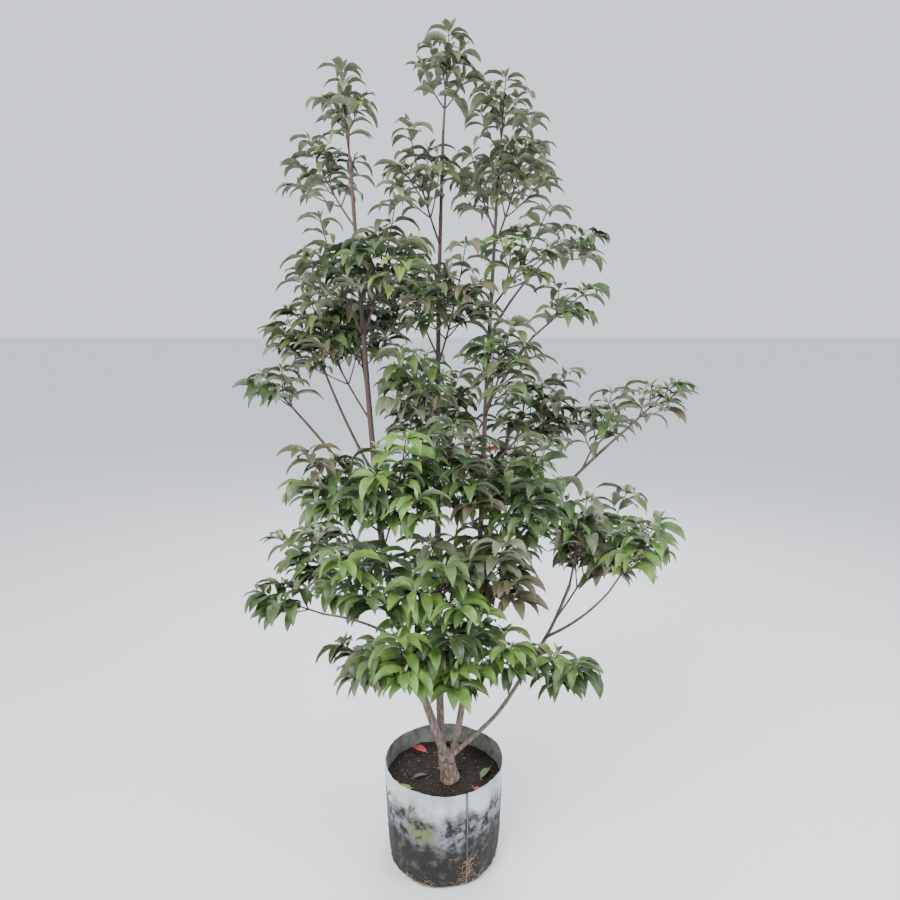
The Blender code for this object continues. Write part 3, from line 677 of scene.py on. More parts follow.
def leaf_material(name, colour, roughness, vein_light):
    """Satin leaf with arched side veins that run towards its tip."""
    finish = Finish(name, roughness, 0.45)
    across, along, _ = finish.axes(finish.coordinates("UV"))
    from_rib = finish.calculated("ABSOLUTE", finish.calculated("SUBTRACT", across, 0.5))
    run = finish.calculated("SUBTRACT", along, finish.times(from_rib, 0.9))
    wave = finish.calculated("SINE", finish.times(run, 38.0))
    veins = finish.stepped(wave, 0.72, 1.0)
    rib = finish.stepped(from_rib, 0.045, 0.0)
    lines = finish.calculated("MAXIMUM", finish.times(veins, 0.45), rib)
    mottle = finish.noise(finish.coordinates(), 34.0)
    patches = finish.stepped(mottle, 0.35, 0.68)
    base = finish.mixed(patches, scaled(colour, 0.72), scaled(colour, 1.22, 0.006))
    veined = finish.mixed(finish.times(lines, vein_light), base, scaled(colour, 1.9, 0.03))
    return finish.done(veined, lines, 0.35, 0.0006)


def bark_material(name, stump, stem, twig):
    """Bark that turns from grey-beige at the foot to purple-brown on the thin wood."""
    finish = Finish(name, 0.82)
    where = finish.coordinates()
    _, _, up = finish.axes(where)
    patches = finish.noise(where, 14.0)
    height = finish.plus(up, finish.times(finish.calculated("SUBTRACT", patches, 0.5), 0.5))
    low = finish.mixed(finish.stepped(height, 0.30, 0.62), stump, stem)
    high = finish.mixed(finish.stepped(height, 0.75, 1.65), low, twig)
    fine = finish.noise(finish.stretched(where, (1.0, 1.0, 0.35)), 160.0, 6.0)
    streaks = finish.mixed(finish.stepped(fine, 0.30, 0.75), scaled(stem, 0.45), high)
    spots = finish.add("ShaderNodeTexVoronoi", Scale=150.0)
    finish.feed(spots.inputs["Vector"], finish.stretched(where, (1.0, 1.0, 0.6)))
    pores = finish.stepped(spots.outputs["Distance"], 0.16, 0.07)
    pale = finish.mixed(finish.times(pores, 0.6), streaks, scaled(stump, 1.5))
    return finish.done(pale, finish.plus(fine, finish.times(pores, 0.6)), 0.55, 0.0012)


def twig_material(colour):
    """Thin smooth purple-brown bark."""
    finish = Finish("twig_bark", 0.6)
    fine = finish.noise(finish.coordinates(), 60.0)
    base = finish.mixed(finish.stepped(fine, 0.35, 0.7), scaled(colour, 0.6), scaled(colour, 1.5))
    return finish.done(base, fine, 0.3, 0.0006)


def bag_material(settings):
    """Worn film: pale under the rim, dark and muddy below, with algae left of the seam."""
    finish = Finish("bag_film", 0.6, 0.2)
    where = finish.coordinates()
    right, back, up = finish.axes(where)
    broad = finish.noise(where, 9.0, 6.0, 0.6)
    mottle = finish.noise(where, 38.0, 8.0, 0.65)
    runs = finish.noise(finish.stretched(where, (1.0, 1.0, 0.18)), 52.0, 5.0)
    height = finish.plus(up, finish.times(finish.calculated("SUBTRACT", broad, 0.5), 0.16))
    band = finish.mixed(finish.stepped(broad, 0.34, 0.58), scaled(settings.pale, 0.62), settings.pale)
    worn = finish.mixed(finish.stepped(mottle, 0.50, 0.72), settings.film, settings.mud)
    faded = finish.mixed(finish.stepped(mottle, 0.40, 0.62), worn, scaled(settings.pale, 0.42))
    middle = finish.mixed(finish.stepped(height, 0.11, 0.19), worn, faded)
    upper = finish.mixed(finish.stepped(height, 0.215, 0.262), middle, band)
    near = finish.add("ShaderNodeVectorMath", operation="DISTANCE")
    finish.feed(near.inputs[0], where)
    finish.feed(near.inputs[1], ALGAE_PLACE)
    patch = finish.stepped(near.outputs["Value"], 0.062, 0.022)
    green = finish.times(patch, finish.stepped(mottle, 0.36, 0.60))
    stained = finish.mixed(green, upper, settings.algae)
    turn = math.radians(SEAM_AZIMUTH)
    aside = finish.plus(finish.times(right, -math.sin(turn)), finish.times(back, math.cos(turn)))
    line = finish.stepped(finish.calculated("ABSOLUTE", aside), 0.0060, 0.0025)
    front = finish.stepped(back, -0.02, -0.08)
    seam = finish.times(finish.times(line, front), 0.75)
    rough = finish.plus(finish.times(mottle, 0.35), 0.50)
    finish.feed(finish.shader.inputs["Roughness"], rough)
    colour = finish.mixed(seam, stained, settings.film)
    return finish.done(colour, finish.plus(mottle, runs), 0.35, 0.0015)


def grained_material(name, colour, scale, spread, roughness, relief):
    """Plain matter with a grain of light and dark."""
    finish = Finish(name, roughness)
    grain = finish.noise(finish.coordinates(), scale, 6.0, 0.6)
    share = finish.stepped(grain, 0.32, 0.70)
    base = finish.mixed(share, scaled(colour, 1 - spread), scaled(colour, 1 + spread))
    return finish.done(base, grain, 0.5, relief)


# Limbs

def stump_shape():
    """Stump, prongs and pruned stubs as one closed mesh."""
    work = Bundle()
    guides = smooth_points(STUMP_AXIS, STUMP_STEP)
    along = distances_along(guides)
    marks = distances_along([Vector(p) for p in STUMP_AXIS])
    radii = list(np.interp(np.array(along) / along[-1] * marks[-1], marks, STUMP_RADII))
    work.add_path(Path(guides, radii), STUMP_SIDES)
    for stem in STEMS:
        path = tapered(smooth_points(stem.guides, PRONG_STEP), stem.foot_radius, stem.tip_radius)
        prong = part_of(path, 0.0, stem.prong)
        radii = [r * (1.0 + PRONG_SWELL * math.exp(-k / 5.0)) for k, r in enumerate(prong.radii)]
        work.add_path(Path(prong.points, radii), PRONG_SIDES)
    thing = work.make("trunk_bark")
    lumps = bmesh.new()
    lumps.from_mesh(thing.data)
    for centre in KNOBS:
        place = Matrix.Translation(centre)
        bmesh.ops.create_icosphere(lumps, subdivisions=3, radius=KNOB_RADIUS, matrix=place)
    lumps.to_mesh(thing.data)
    lumps.free()
    remesh = thing.modifiers.new("union", "REMESH")
    remesh.mode = "VOXEL"
    remesh.voxel_size = STUMP_VOXEL
    smooth = thing.modifiers.new("soften", "SMOOTH")
    smooth.iterations = 6
    evaluated = thing.evaluated_get(bpy.context.evaluated_depsgraph_get())
    fused = bpy.data.meshes.new_from_object(evaluated)
    thing.modifiers.clear()
    thing.data = fused
    return thing


def wrinkle(thing, relief):
    """Wrinkles that run round the stump, and shallow lumps on it and on the prongs."""
    mesh = thing.data
    normals = [v.normal.copy() for v in mesh.vertices]
    for vert, normal in zip(mesh.vertices, normals):
        place = vert.co
        rings = noise.noise(Vector((place.x * 18, place.y * 18, place.z * 170)))
        lumps = noise.noise(place * 70)
        old = max(0.0, min(1.0, (OLD_BARK_TOP - place.z) / OLD_BARK_FADE))
        vert.co = place + normal * relief * (old * 0.8 * rings + 0.5 * lumps)
        vert.co.z = max(vert.co.z, SOIL_HEIGHT + 0.0003)
    mesh.update()
    mesh.shade_smooth()


def limb_rings(path, sides, seed):
    """Rings of a limb with the swellings of old leaf pairs and an uneven girth."""
    rings = rings_along(path, sides)
    rng = random.Random(seed)
    along = distances_along(path.points)
    nodes = []
    place = rng.uniform(0.03, 0.07)
    while place < along[-1]:
        nodes.append(place)
        place += rng.uniform(0.055, 0.095)
    for k, (point, radius, s) in enumerate(zip(path.points, path.radii, along)):
        swell = sum(math.exp(-((s - n) / 0.0035) ** 2) for n in nodes if abs(s - n) < 0.02)
        girth = noise.noise(Vector(point) * 22) * 0.06
        out = rings[k] - np.array(point)
        rings[k] = np.array(point) + out * (1.0 + girth + min(0.20, 0.0008 / radius) * swell)
    return rings


def build_limbs(bark):
    """Bark of the trunk, the stems and the boughs."""
    paths = limb_paths()
    wood = [bark_material("limb_bark", bark.stump, bark.stem, bark.twig)]
    stump = stump_shape()
    wrinkle(stump, bark.relief)
    dress(stump, "stump_bark", wood, "trunk")
    for stem in STEMS:
        path = part_of(paths[stem.name], stem.prong - STEM_OVERLAP, math.inf)
        bundle = Bundle()
        bundle.add_rings(limb_rings(path, STEM_SIDES, stem.name))
        dress(bundle.make(stem.name + "_bark"), "stem_bark", wood, stem.name)
    for bough in BOUGHS:
        path = paths[bough.name]
        along = distances_along(path.points)
        collar = [r * (1.0 + 0.5 * math.exp(-s / 0.010)) for r, s in zip(path.radii, along)]
        bundle = Bundle()
        bundle.add_rings(limb_rings(Path(path.points, collar), BOUGH_SIDES, bough.name))
        dress(bundle.make(bough.name + "_bark"), "bough_bark", wood, bough.name)


# Growth

class Room:
    """The masses' own stems and the limbs, which tell whose room a point lies in."""

    def __init__(self, axes, limbs):
        self.names = list(axes)
        starts, ends, owners = [], [], []
        for number, name in enumerate(self.names):
            for a, b in zip(axes[name], axes[name][1:]):
                starts.append(a)
                ends.append(b)
                owners.append(number)
        self.owners = np.array(owners)
        self.masses = (np.array(starts), np.array(ends))
        pairs = [(a, b) for points in limbs for a, b in zip(points, points[1:])]
        self.limbs = (np.array([a for a, _ in pairs]), np.array([b for _, b in pairs]))

    @staticmethod
    def distances(point, segments):
        """Distances from a point to each of many segments."""
        starts, ends = segments
        along = ends - starts
        t = np.einsum("ij,ij->i", point - starts, along) / np.einsum("ij,ij->i", along, along)
        nearest = starts + along * np.clip(t, 0.0, 1.0)[:, None]
        return np.linalg.norm(nearest - point, axis=1)

    def is_own(self, owner, point):
        """True where a point is about as near its own mass's stem as any other's."""
        far = self.distances(np.array(point), self.masses)
        mine = self.owners == self.names.index(owner)
        return far[mine].min() - SPACE_TOLERANCE < far[~mine].min()

    def is_clear(self, point):
        """True where a point isn't on a limb."""
        return self.distances(np.array(point), self.limbs).min() > LIMB_ROOM


class Growth:
    """Twigs and leaf spots of all masses, grown by one rule."""

    def __init__(self, paths, settings):
        self.settings = settings
        self.twigs = []
        self.spots = []
        stems = {mass.name: self.tip_stem(mass, paths[mass.limb]) for mass in TIP_MASSES}
        stems.update({mass.name: self.side_stem(mass, paths[mass.limb]) for mass in SIDE_MASSES})
        axes = {name: path.points for name, path in stems.items()}
        self.room = Room(axes, [path.points for path in paths.values()])
        for name, path in stems.items():
            self.rng = random.Random("dogwood " + name)
            self.owner = name
            self.grow_stem(path)

    @staticmethod
    def tip_stem(mass, limb):
        """A mass's own stem that carries on from the tip of a limb."""
        end = (limb.points[-1] - limb.points[-3]).normalized()
        azimuth, rise = angles_of(end)
        start = limb.points[-1] - end * 0.004
        rise = min(rise + mass.lift, STEEPEST_RISE)
        points = bending_points(start, azimuth + mass.turn, rise, 0, mass.length, TIP_STEM_STEPS)
        foot_radius = min(TWIG_FOOT_RADIUS * STOUTER, limb.radii[-1])
        return tapered(points, foot_radius, TWIG_TIP_RADIUS * STOUTER)

    @staticmethod
    def side_stem(mass, limb):
        """A mass's own stem that grows from the side of a limb."""
        centre, _, radius = place_at_height(limb, mass.height)
        start = centre + heading(mass.azimuth, mass.rise) * radius * 0.3
        upturn = min(UPTURN, STEEPEST_RISE - mass.rise)
        points = bending_points(start, mass.azimuth, mass.rise, upturn, mass.length, SIDE_STEM_STEPS)
        return tapered(points, min(TWIG_FOOT_RADIUS, 0.7 * radius), TWIG_TIP_RADIUS * STOUTER)

    def node_places(self, length, first):
        """Distances along a twig where pairs stand, ending short of its tip."""
        spacing = self.settings.spacing
        places = []
        place = first
        while place < length - 0.35 * spacing:
            places.append(place)
            place += spacing * self.rng.uniform(0.85, 1.2)
        return places

    def grow_stem(self, path):
        """The mass's own stem: side twigs first, leaf pairs further out, a rosette at its tip."""
        total = distances_along(path.points)[-1]
        turn = self.rng.uniform(0, math.pi)
        kind = self.pick_kind(path.points[-1])
        self.twigs.append((path, 7))
        for count, along in enumerate(self.node_places(total, BARE_SHARE * total)):
            for side in (0, math.pi):
                roll = turn + count * math.pi / 2 + side
                grown = along < BRANCHING_SHARE * total and self.grow_side(path, along, roll, total)
                if not grown:
                    self.add_leaf(path, along, roll, LEAF_ANGLE, 1.0, kind)
        self.add_rosette(path, total, turn, kind, 5)

    def grow_side(self, host, along, roll, total):
        """A side twig with leaf pairs, finer twigs on a long one, and a rosette."""
        length = max(SIDE_SHORTEST, SIDE_SHARE * (total - along)) * self.rng.uniform(0.86, 1.08)
        twig = self.branch(host, along, roll, length, SIDE_FOOT_RADIUS)
        if twig is None:
            return False
        kind = self.pick_kind(twig.points[-1])
        turn = self.rng.uniform(0, 2 * math.pi)
        self.twigs.append((twig, 6))
        for count, place in enumerate(self.node_places(length, SIDE_BARE_SHARE * length)):
            for side in (0, math.pi):
                place_roll = turn + count * math.pi / 2 + side
                fine = count == 0 and length > FINE_FROM and self.grow_fine(twig, place, place_roll, length)
                if not fine:
                    self.add_leaf(twig, place, place_roll, LEAF_ANGLE, 1.0, kind)
        self.add_rosette(twig, length, turn, kind, 4)
        return True

    def grow_fine(self, host, along, roll, total):
        """The finest twig: one or two leaf pairs and a rosette."""
        length = min(FINE_LONGEST, FINE_SHARE * (total - along)) * self.rng.uniform(0.8, 1.1)
        twig = self.branch(host, along, roll, length, FINE_FOOT_RADIUS)
        if twig is None:
            return False
        kind = self.pick_kind(twig.points[-1])
        turn = self.rng.uniform(0, 2 * math.pi)
        self.twigs.append((twig, 5))
        for count, place in enumerate(self.node_places(length, FINE_BARE_SHARE * length)):
            for side in (0, math.pi):
                self.add_leaf(twig, place, turn + count * math.pi / 2 + side, LEAF_ANGLE, 0.92, kind)
        self.add_rosette(twig, length, turn, kind, 4)
        return True

    def branch(self, host, along, roll, length, radius):
        """A twig from a place on its host, or nothing where it would leave its mass's room."""
        root, direction, _ = place_along(host, along)
        for attempt in range(TRIES):
            angle = SIDE_ANGLE + self.rng.uniform(-6, 6)
            out, _ = tilted(direction, roll + swing(attempt, 0.4), angle)
            azimuth, rise = angles_of(out)
            upturn = min(UPTURN, STEEPEST_RISE - rise)
            count = max(3, round(length / TWIG_STEP))
            points = bending_points(root, azimuth, rise, upturn, length, count)
            if self.room.is_own(self.owner, points[-1]) and self.room.is_clear(points[-1]):
                return tapered(points, radius, TWIG_TIP_RADIUS)
        return None

    def pick_kind(self, place):
        """Kind of a whole spray's leaves by its height and its mass."""
        shares = next(shares for height, shares in SHARES_ABOVE if place.z > height)
        if self.owner in BRIGHT_MASSES:
            shares = BRIGHT_SHARES
        return self.rng.choices(KINDS, shares)[0]

    def leaf_length(self, height):
        """Leaf length at a height: longer low in the crown."""
        share = max(0.0, min(1.0, (height - 0.5) / 1.6))
        low, high = self.settings.low_length, self.settings.high_length
        return (low + (high - low) * share) * self.rng.uniform(0.80, 1.12)

    def add_leaf(self, twig, along, roll, angle, scale, kind):
        """A leaf that rises from its twig and arches over, turned a little until it has room."""
        root, direction, _ = place_along(twig, along)
        length = self.leaf_length(root.z) * scale
        for attempt in range(TRIES):
            turn = roll + swing(attempt, 0.35) + self.rng.uniform(-0.15, 0.15)
            out, side = tilted(direction, turn, angle)
            level = Vector((out.x, out.y, 0)) + direction.cross(UP) * side.z
            azimuth, _ = angles_of(level)
            rise = LEAF_RISE + self.rng.uniform(-14, 16)
            middle = root + heading(azimuth, rise * 0.5) * length * 0.55
            if self.room.is_own(self.owner, middle) and self.room.is_clear(middle):
                width = length * LEAF_WIDTH_SHARE * self.rng.uniform(0.88, 1.12)
                arch = LEAF_ARCH + self.rng.uniform(-22, 22)
                lean = self.rng.gauss(0, 16)
                self.spots.append(Spot(root, azimuth, rise, arch, length, width, lean, kind))
                return

    def add_rosette(self, twig, length, turn, kind, count):
        """Leaves that radiate from a twig's tip round two young ones."""
        for k in range(count):
            roll = turn + 2 * math.pi * k / count
            scale = 0.94 if k % 2 else 0.82
            self.add_leaf(twig, length - 0.0015 * (k + 1), roll, ROSETTE_ANGLE, scale, kind)
        tip, _, _ = place_along(twig, length)
        for k in range(2):
            azimuth = math.degrees(turn) + 90 + 180 * k + self.rng.uniform(-20, 20)
            size = self.rng.uniform(0.020, 0.036)
            self.spots.append(Spot(tip, azimuth, self.rng.uniform(48, 72), self.rng.uniform(25, 60), size,
                                   size * 0.34, self.rng.gauss(0, 10), "young"))


# Leaves

def leaf_outline(t):
    """Half width of a leaf at a share of its length: lance-shaped with a drawn-out tip."""
    return np.sin(np.pi * t ** 0.86) ** 0.8 * (1 - 0.45 * t ** 4)


def leaf_arrays(spots):
    """Corners of many leaves: for each its stations, its tip and its stalk."""
    count = len(spots)
    root = np.array([s.root for s in spots])
    azimuth = np.radians([s.azimuth for s in spots])
    rise = np.radians([s.rise for s in spots])
    arch = np.radians([s.arch for s in spots])
    length = np.array([s.length for s in spots])
    width = np.array([s.width for s in spots])
    roll = np.radians([s.roll for s in spots])
    level = np.stack([np.cos(azimuth), np.sin(azimuth), np.zeros(count)], 1)
    across = np.stack([level[:, 1], -level[:, 0], np.zeros(count)], 1)
    up = np.array([0.0, 0.0, 1.0])

    def directions(t):
        angle = rise - arch * t ** 1.15
        return angle, level * np.cos(angle)[:, None] + up * np.sin(angle)[:, None]

    stalk = PETIOLE * np.clip(length / 0.08, 0.4, 1.2)
    base = root + directions(0.0)[1] * stalk[:, None]
    rib = [base]
    for low, high in zip(STATIONS, STATIONS[1:]):
        rib.append(rib[-1] + directions((low + high) / 2)[1] * (length * (high - low))[:, None])
    corners = []
    uvs = []
    fold = math.radians(LEAF_FOLD)
    for station, (t, middle) in enumerate(zip(STATIONS[:-1], rib)):
        angle, _ = directions(t)
        normal = -level * np.sin(angle)[:, None] + up * np.cos(angle)[:, None]
        side = across * np.cos(roll)[:, None] + normal * np.sin(roll)[:, None]
        face = normal * np.cos(roll)[:, None] - across * np.sin(roll)[:, None]
        half = np.maximum(width / 2 * leaf_outline(max(t, 0.004)), 0.0005)
        ripple = 0.035 * width * math.sin(station * 2.1)
        for s in ACROSS:
            bow = 0.10 * half if abs(s) == 0.5 else (ripple if s > 0 else -ripple) * (abs(s) == 1.0)
            lift = half * abs(s) * math.sin(fold) + bow
            corners.append(middle + side * (half * s * math.cos(fold))[:, None] + face * lift[:, None])
            uvs.append((0.5 + s / 2, t))
        corners.append(middle - face * LEAF_THICKNESS)
        uvs.append((0.5, t))
    corners.append(rib[-1])
    uvs.append((0.5, 1.0))
    ahead = directions(0.0)[1]
    rising = np.cross(across, ahead)
    for place, radius in ((root, PETIOLE_RADIUS * 1.3), (base + ahead * 0.001, PETIOLE_RADIUS * 0.8)):
        for k in range(3):
            turn = 2 * math.pi * k / 3
            corners.append(place + radius * (across * math.cos(turn) + rising * math.sin(turn)))
            uvs.append((0.5, 0.0))
    return np.stack(corners, 1), np.array(uvs)


def leaf_faces():
    """Faces of one leaf as indices: quads, triangles, and their material numbers."""
    quads, quad_slots, tris, tri_slots = [], [], [], []
    row = len(ACROSS) + 1
    stations = len(STATIONS) - 1
    tip = stations * row
    for k in range(stations - 1):
        low, high = k * row, (k + 1) * row
        for n in range(4):
            quads.append((low + n, high + n, high + n + 1, low + n + 1))
            quad_slots.append(0)
        quads.append((low + 4, high + 4, high + 5, low + 5))
        quads.append((low + 5, high + 5, high, low))
        quad_slots += [1, 1]
    last = (stations - 1) * row
    for n in range(4):
        tris.append((last + n, tip, last + n + 1))
        tri_slots.append(0)
    tris += [(last + 4, tip, last + 5), (last + 5, tip, last)]
    tri_slots += [1, 1]
    tris += [(0, 1, 2), (2, 3, 4), (0, 2, 5), (2, 4, 5)]
    tri_slots += [1, 1, 1, 1]
    foot = tip + 1
    for n in range(3):
        m = (n + 1) % 3
        quads.append((foot + n, foot + m, foot + 3 + m, foot + 3 + n))
        quad_slots.append(1)
    tris += [(foot, foot + 2, foot + 1), (foot + 3, foot + 4, foot + 5)]
    tri_slots += [1, 1]
    return np.array(quads), np.array(quad_slots), np.array(tris), np.array(tri_slots)


def leaf_object(name, spots):
    """Many leaves as one joined mesh."""
    corners, uvs = leaf_arrays(spots)
    quads, quad_slots, tris, tri_slots = leaf_faces()
    count, size = corners.shape[:2]
    shift = np.arange(count)[:, None, None] * size
    all_quads = (quads[None] + shift).reshape(-1, 4)
    all_tris = (tris[None] + shift).reshape(-1, 3)
    slots = np.concatenate([np.tile(quad_slots, count), np.tile(tri_slots, count)])
    all_uvs = np.tile(uvs, (count, 1))
    thing = mesh_object(name, corners.reshape(-1, 3), [all_quads, all_tris], slots, all_uvs)
    thing.data.set_sharp_from_angle(angle=math.radians(70))
    return thing


def build_foliage(leaves, bark):
    """All twigs and leaves of the foliage masses, joined by kind through the whole crown."""
    growth = Growth(limb_paths(), leaves)
    bundle = Bundle()
    for path, sides in growth.twigs:
        bundle.add_path(path, sides)
    dress(bundle.make("twigs"), "bough_bark", [twig_material(bark.twig)])
    under = leaf_material("leaf_underside", leaves.under, 0.62, 0.35)
    stood_for = {kind: [] for kind in KINDS}
    for number, name in enumerate(MASS_NAMES):
        kind = "bright" if name in BRIGHT_MASSES else ("dark", "green")[number % 2]
        stood_for[kind].append(name)
    for kind in KINDS:
        spots = [spot for spot in growth.spots if spot.kind == kind]
        upper = leaf_material("leaf_" + kind, getattr(leaves, kind), 0.42, 0.55)
        for part, first in enumerate(range(0, len(spots), MOST_LEAVES)):
            thing = leaf_object("leaves_%s_%d" % (kind, part + 1), spots[first:first + MOST_LEAVES])
            nodes = stood_for[kind] if part == 0 else []
            dress(thing, KIND_SLOTS[kind], [upper, under], *nodes)


# Bag, roots and soil

def bag_radius(angle, height):
    """Outer radius of the bag at an azimuth in radians and a height."""
    share = height / BAG_HEIGHT
    facing = max(0.0, math.cos(angle - math.radians(BAG_DENT_AZIMUTH))) ** 6
    radius = BAG_FOOT_RADIUS + (BAG_RIM_RADIUS - BAG_FOOT_RADIUS) * share
    radius += BAG_BULGE * math.sin(math.pi * share) + BAG_SWAY * math.cos(3 * angle) * share
    return radius - BAG_DENT * facing * share


def film_point(angle, height, inset, crease):
    """A point on the bag's film, with its creases and the ridge of its seam."""
    x, y = math.cos(angle), math.sin(angle)
    share = height / BAG_HEIGHT
    soft = noise.noise(Vector((x * 2.2, y * 2.2, height * 9)))
    sharp = 1.0 - abs(noise.noise(Vector((x * 6.0, y * 6.0, height * 26 + 3)))) * 2.4
    vertical = noise.noise(Vector((x * 9.0, y * 9.0, height * 3)))
    out = crease * (0.9 * soft + 0.55 * sharp * (1 - 0.5 * share) + 0.6 * vertical)
    turn = math.remainder(angle - math.radians(SEAM_AZIMUTH), 2 * math.pi)
    out += SEAM_RIDGE * math.exp(-(turn / SEAM_SPREAD) ** 2)
    corner = max(0.0, 1.0 - height / HEM_HEIGHT)
    radius = bag_radius(angle, height) + out - inset - HEM_DEPTH * corner ** 2
    wave = 0.0024 * math.sin(2 * angle + 0.6) + 0.0016 * math.sin(5 * angle)
    return (radius * x, radius * y, height + wave * share ** 6)


def build_bag(settings):
    """The film of the grow bag, and the stitches of its seam."""
    crease = settings.crease
    lining = BAG_HEIGHT - SOIL_HEIGHT + LINING_BELOW_SOIL
    around = [2 * math.pi * k / FILM_SIDES for k in range(FILM_SIDES)]
    outer = [BAG_HEIGHT * (k / OUTER_ROWS) for k in range(OUTER_ROWS + 1)]
    inner = [BAG_HEIGHT - lining * k / INNER_ROWS for k in range(INNER_ROWS + 1)]
    rows = [[film_point(a, h, 0.0, crease) for a in around] for h in outer]
    rows += [[film_point(a, h, FILM_THICKNESS, crease) for a in around] for h in inner]
    verts = np.array(rows).reshape(-1, 3)
    steps = len(rows) - 1
    ring = np.arange(FILM_SIDES)
    after = (ring + 1) % FILM_SIDES
    quads = []
    for k in range(steps):
        low, high = k * FILM_SIDES, (k + 1) * FILM_SIDES
        quads.append(np.stack([low + ring, low + after, high + after, high + ring], 1))
    centre = np.array([[0.0, 0.0, 0.0], [0.0, 0.0, SOIL_HEIGHT - LINING_BELOW_SOIL]])
    last = steps * FILM_SIDES
    floor = np.stack([np.full(FILM_SIDES, len(verts)), after, ring], 1)
    lid = np.stack([np.full(FILM_SIDES, len(verts) + 1), last + ring, last + after], 1)
    is_inside = np.repeat(np.arange(steps) > OUTER_ROWS, FILM_SIDES)
    slots = np.concatenate([is_inside, np.zeros(FILM_SIDES), np.ones(FILM_SIDES)])
    bag = mesh_object("grow_bag_film", np.concatenate([verts, centre]),
                      [np.concatenate(quads), np.concatenate([floor, lid])], slots)
    bag.data.set_sharp_from_angle(angle=math.radians(50))
    film = bag_material(settings)
    inside = grained_material("bag_inside", settings.inside, 26.0, 0.45, 0.7, 0.001)
    dress(bag, "bag_film", [film, inside], "grow_bag")
    stitches = Bundle()
    beside = math.radians(SEAM_AZIMUTH) + 0.004
    for k in range(STITCHES):
        low = FIRST_STITCH + k * STITCH_SPACING
        heights = (low, low + STITCH_LENGTH / 2, low + STITCH_LENGTH)
        points = [Vector(film_point(beside, height, -OUTSIDE, crease)) for height in heights]
        stitches.add_path(Path(points, [0.0003, 0.0006, 0.0003]), 5)
    thread = grained_material("thread", (0.42, 0.44, 0.42), 300.0, 0.3, 0.8, 0.0002)
    dress(stitches.make("bag_stitches"), "bag_film", [thread])


def build_roots(settings):
    """Fine roots that cling to the outside of the bag low in front."""
    rng = random.Random("roots")
    bundle = Bundle()
    for azimuth, spread, low, high, count in ROOT_CLUMPS:
        for _ in range(count):
            angle = math.radians(rng.gauss(azimuth, spread))
            height = rng.uniform(low, high)
            turn = rng.uniform(-0.4, 0.4) - math.pi / 2
            points = []
            for _ in range(rng.randint(7, 14)):
                if not 0.0015 < height < 0.3:
                    break
                inset = -OUTSIDE - rng.uniform(0, 0.001)
                points.append(Vector(film_point(angle, height, inset, settings.crease)))
                turn += rng.gauss(0, 0.55)
                angle += ROOT_STEP * math.cos(turn) / BAG_RIM_RADIUS
                height += ROOT_STEP * math.sin(turn)
            if len(points) > 3:
                bundle.add_path(Path(points, [rng.uniform(0.0003, 0.0006)] * len(points)), 4)
    fibre = grained_material("root_fibre", (0.300, 0.215, 0.130), 90.0, 0.4, 0.85, 0.0003)
    dress(bundle.make("fine_roots"), "moist_soil", [fibre])


def soil_height(x, y, relief):
    """Height of the soil's surface, heaped a little round the stump and lumpy."""
    lumps = noise.fractal(Vector((x * 26, y * 26, 0.4)), 0.9, 2.1, 5)
    heap = 0.004 * math.exp(-((x - 0.02) ** 2 + (y + 0.02) ** 2) / 0.0032)
    return SOIL_HEIGHT - SOIL_SINK + relief * 0.7 * lumps + heap


def build_soil(settings):
    """Lumpy soil with crumbs, bits of bark and pale grains."""
    verts = [(0.0, 0.0, soil_height(0.0, 0.0, settings.relief))]
    for k in range(1, SOIL_RINGS + 1):
        for n in range(SOIL_SIDES):
            angle = 2 * math.pi * n / SOIL_SIDES
            radius = (bag_radius(angle, SOIL_HEIGHT) - SOIL_CLEARANCE) * k / SOIL_RINGS
            x, y = radius * math.cos(angle), radius * math.sin(angle)
            verts.append((x, y, soil_height(x, y, settings.relief)))
    ring = np.arange(SOIL_SIDES)
    after = (ring + 1) % SOIL_SIDES
    quads = []
    for k in range(SOIL_RINGS - 1):
        low, high = 1 + k * SOIL_SIDES, 1 + (k + 1) * SOIL_SIDES
        quads.append(np.stack([low + ring, high + ring, high + after, low + after], 1))
    middle = np.stack([np.zeros(SOIL_SIDES, int), 1 + ring, 1 + after], 1)
    soil = mesh_object("soil_surface", np.array(verts), [np.concatenate(quads), middle])
    earth = grained_material("moist_soil", settings.colour, 150.0, 0.6, 0.95, 0.002)
    dress(soil, "moist_soil", [earth], "soil")
    for name, count, sizes, colour in (
            ("soil_crumbs", settings.crumbs, (0.0012, 0.0042), (0.034, 0.024, 0.017)),
            ("bark_bits", settings.crumbs // 8, (0.0020, 0.0065), (0.075, 0.045, 0.028)),
            ("pale_grains", settings.crumbs // 26, (0.0010, 0.0026), (0.480, 0.450, 0.380))):
        grains = grain_object(name, count, sizes, settings.relief)
        dress(grains, "moist_soil", [grained_material(name, colour, 240.0, 0.5, 0.9, 0.0006)])


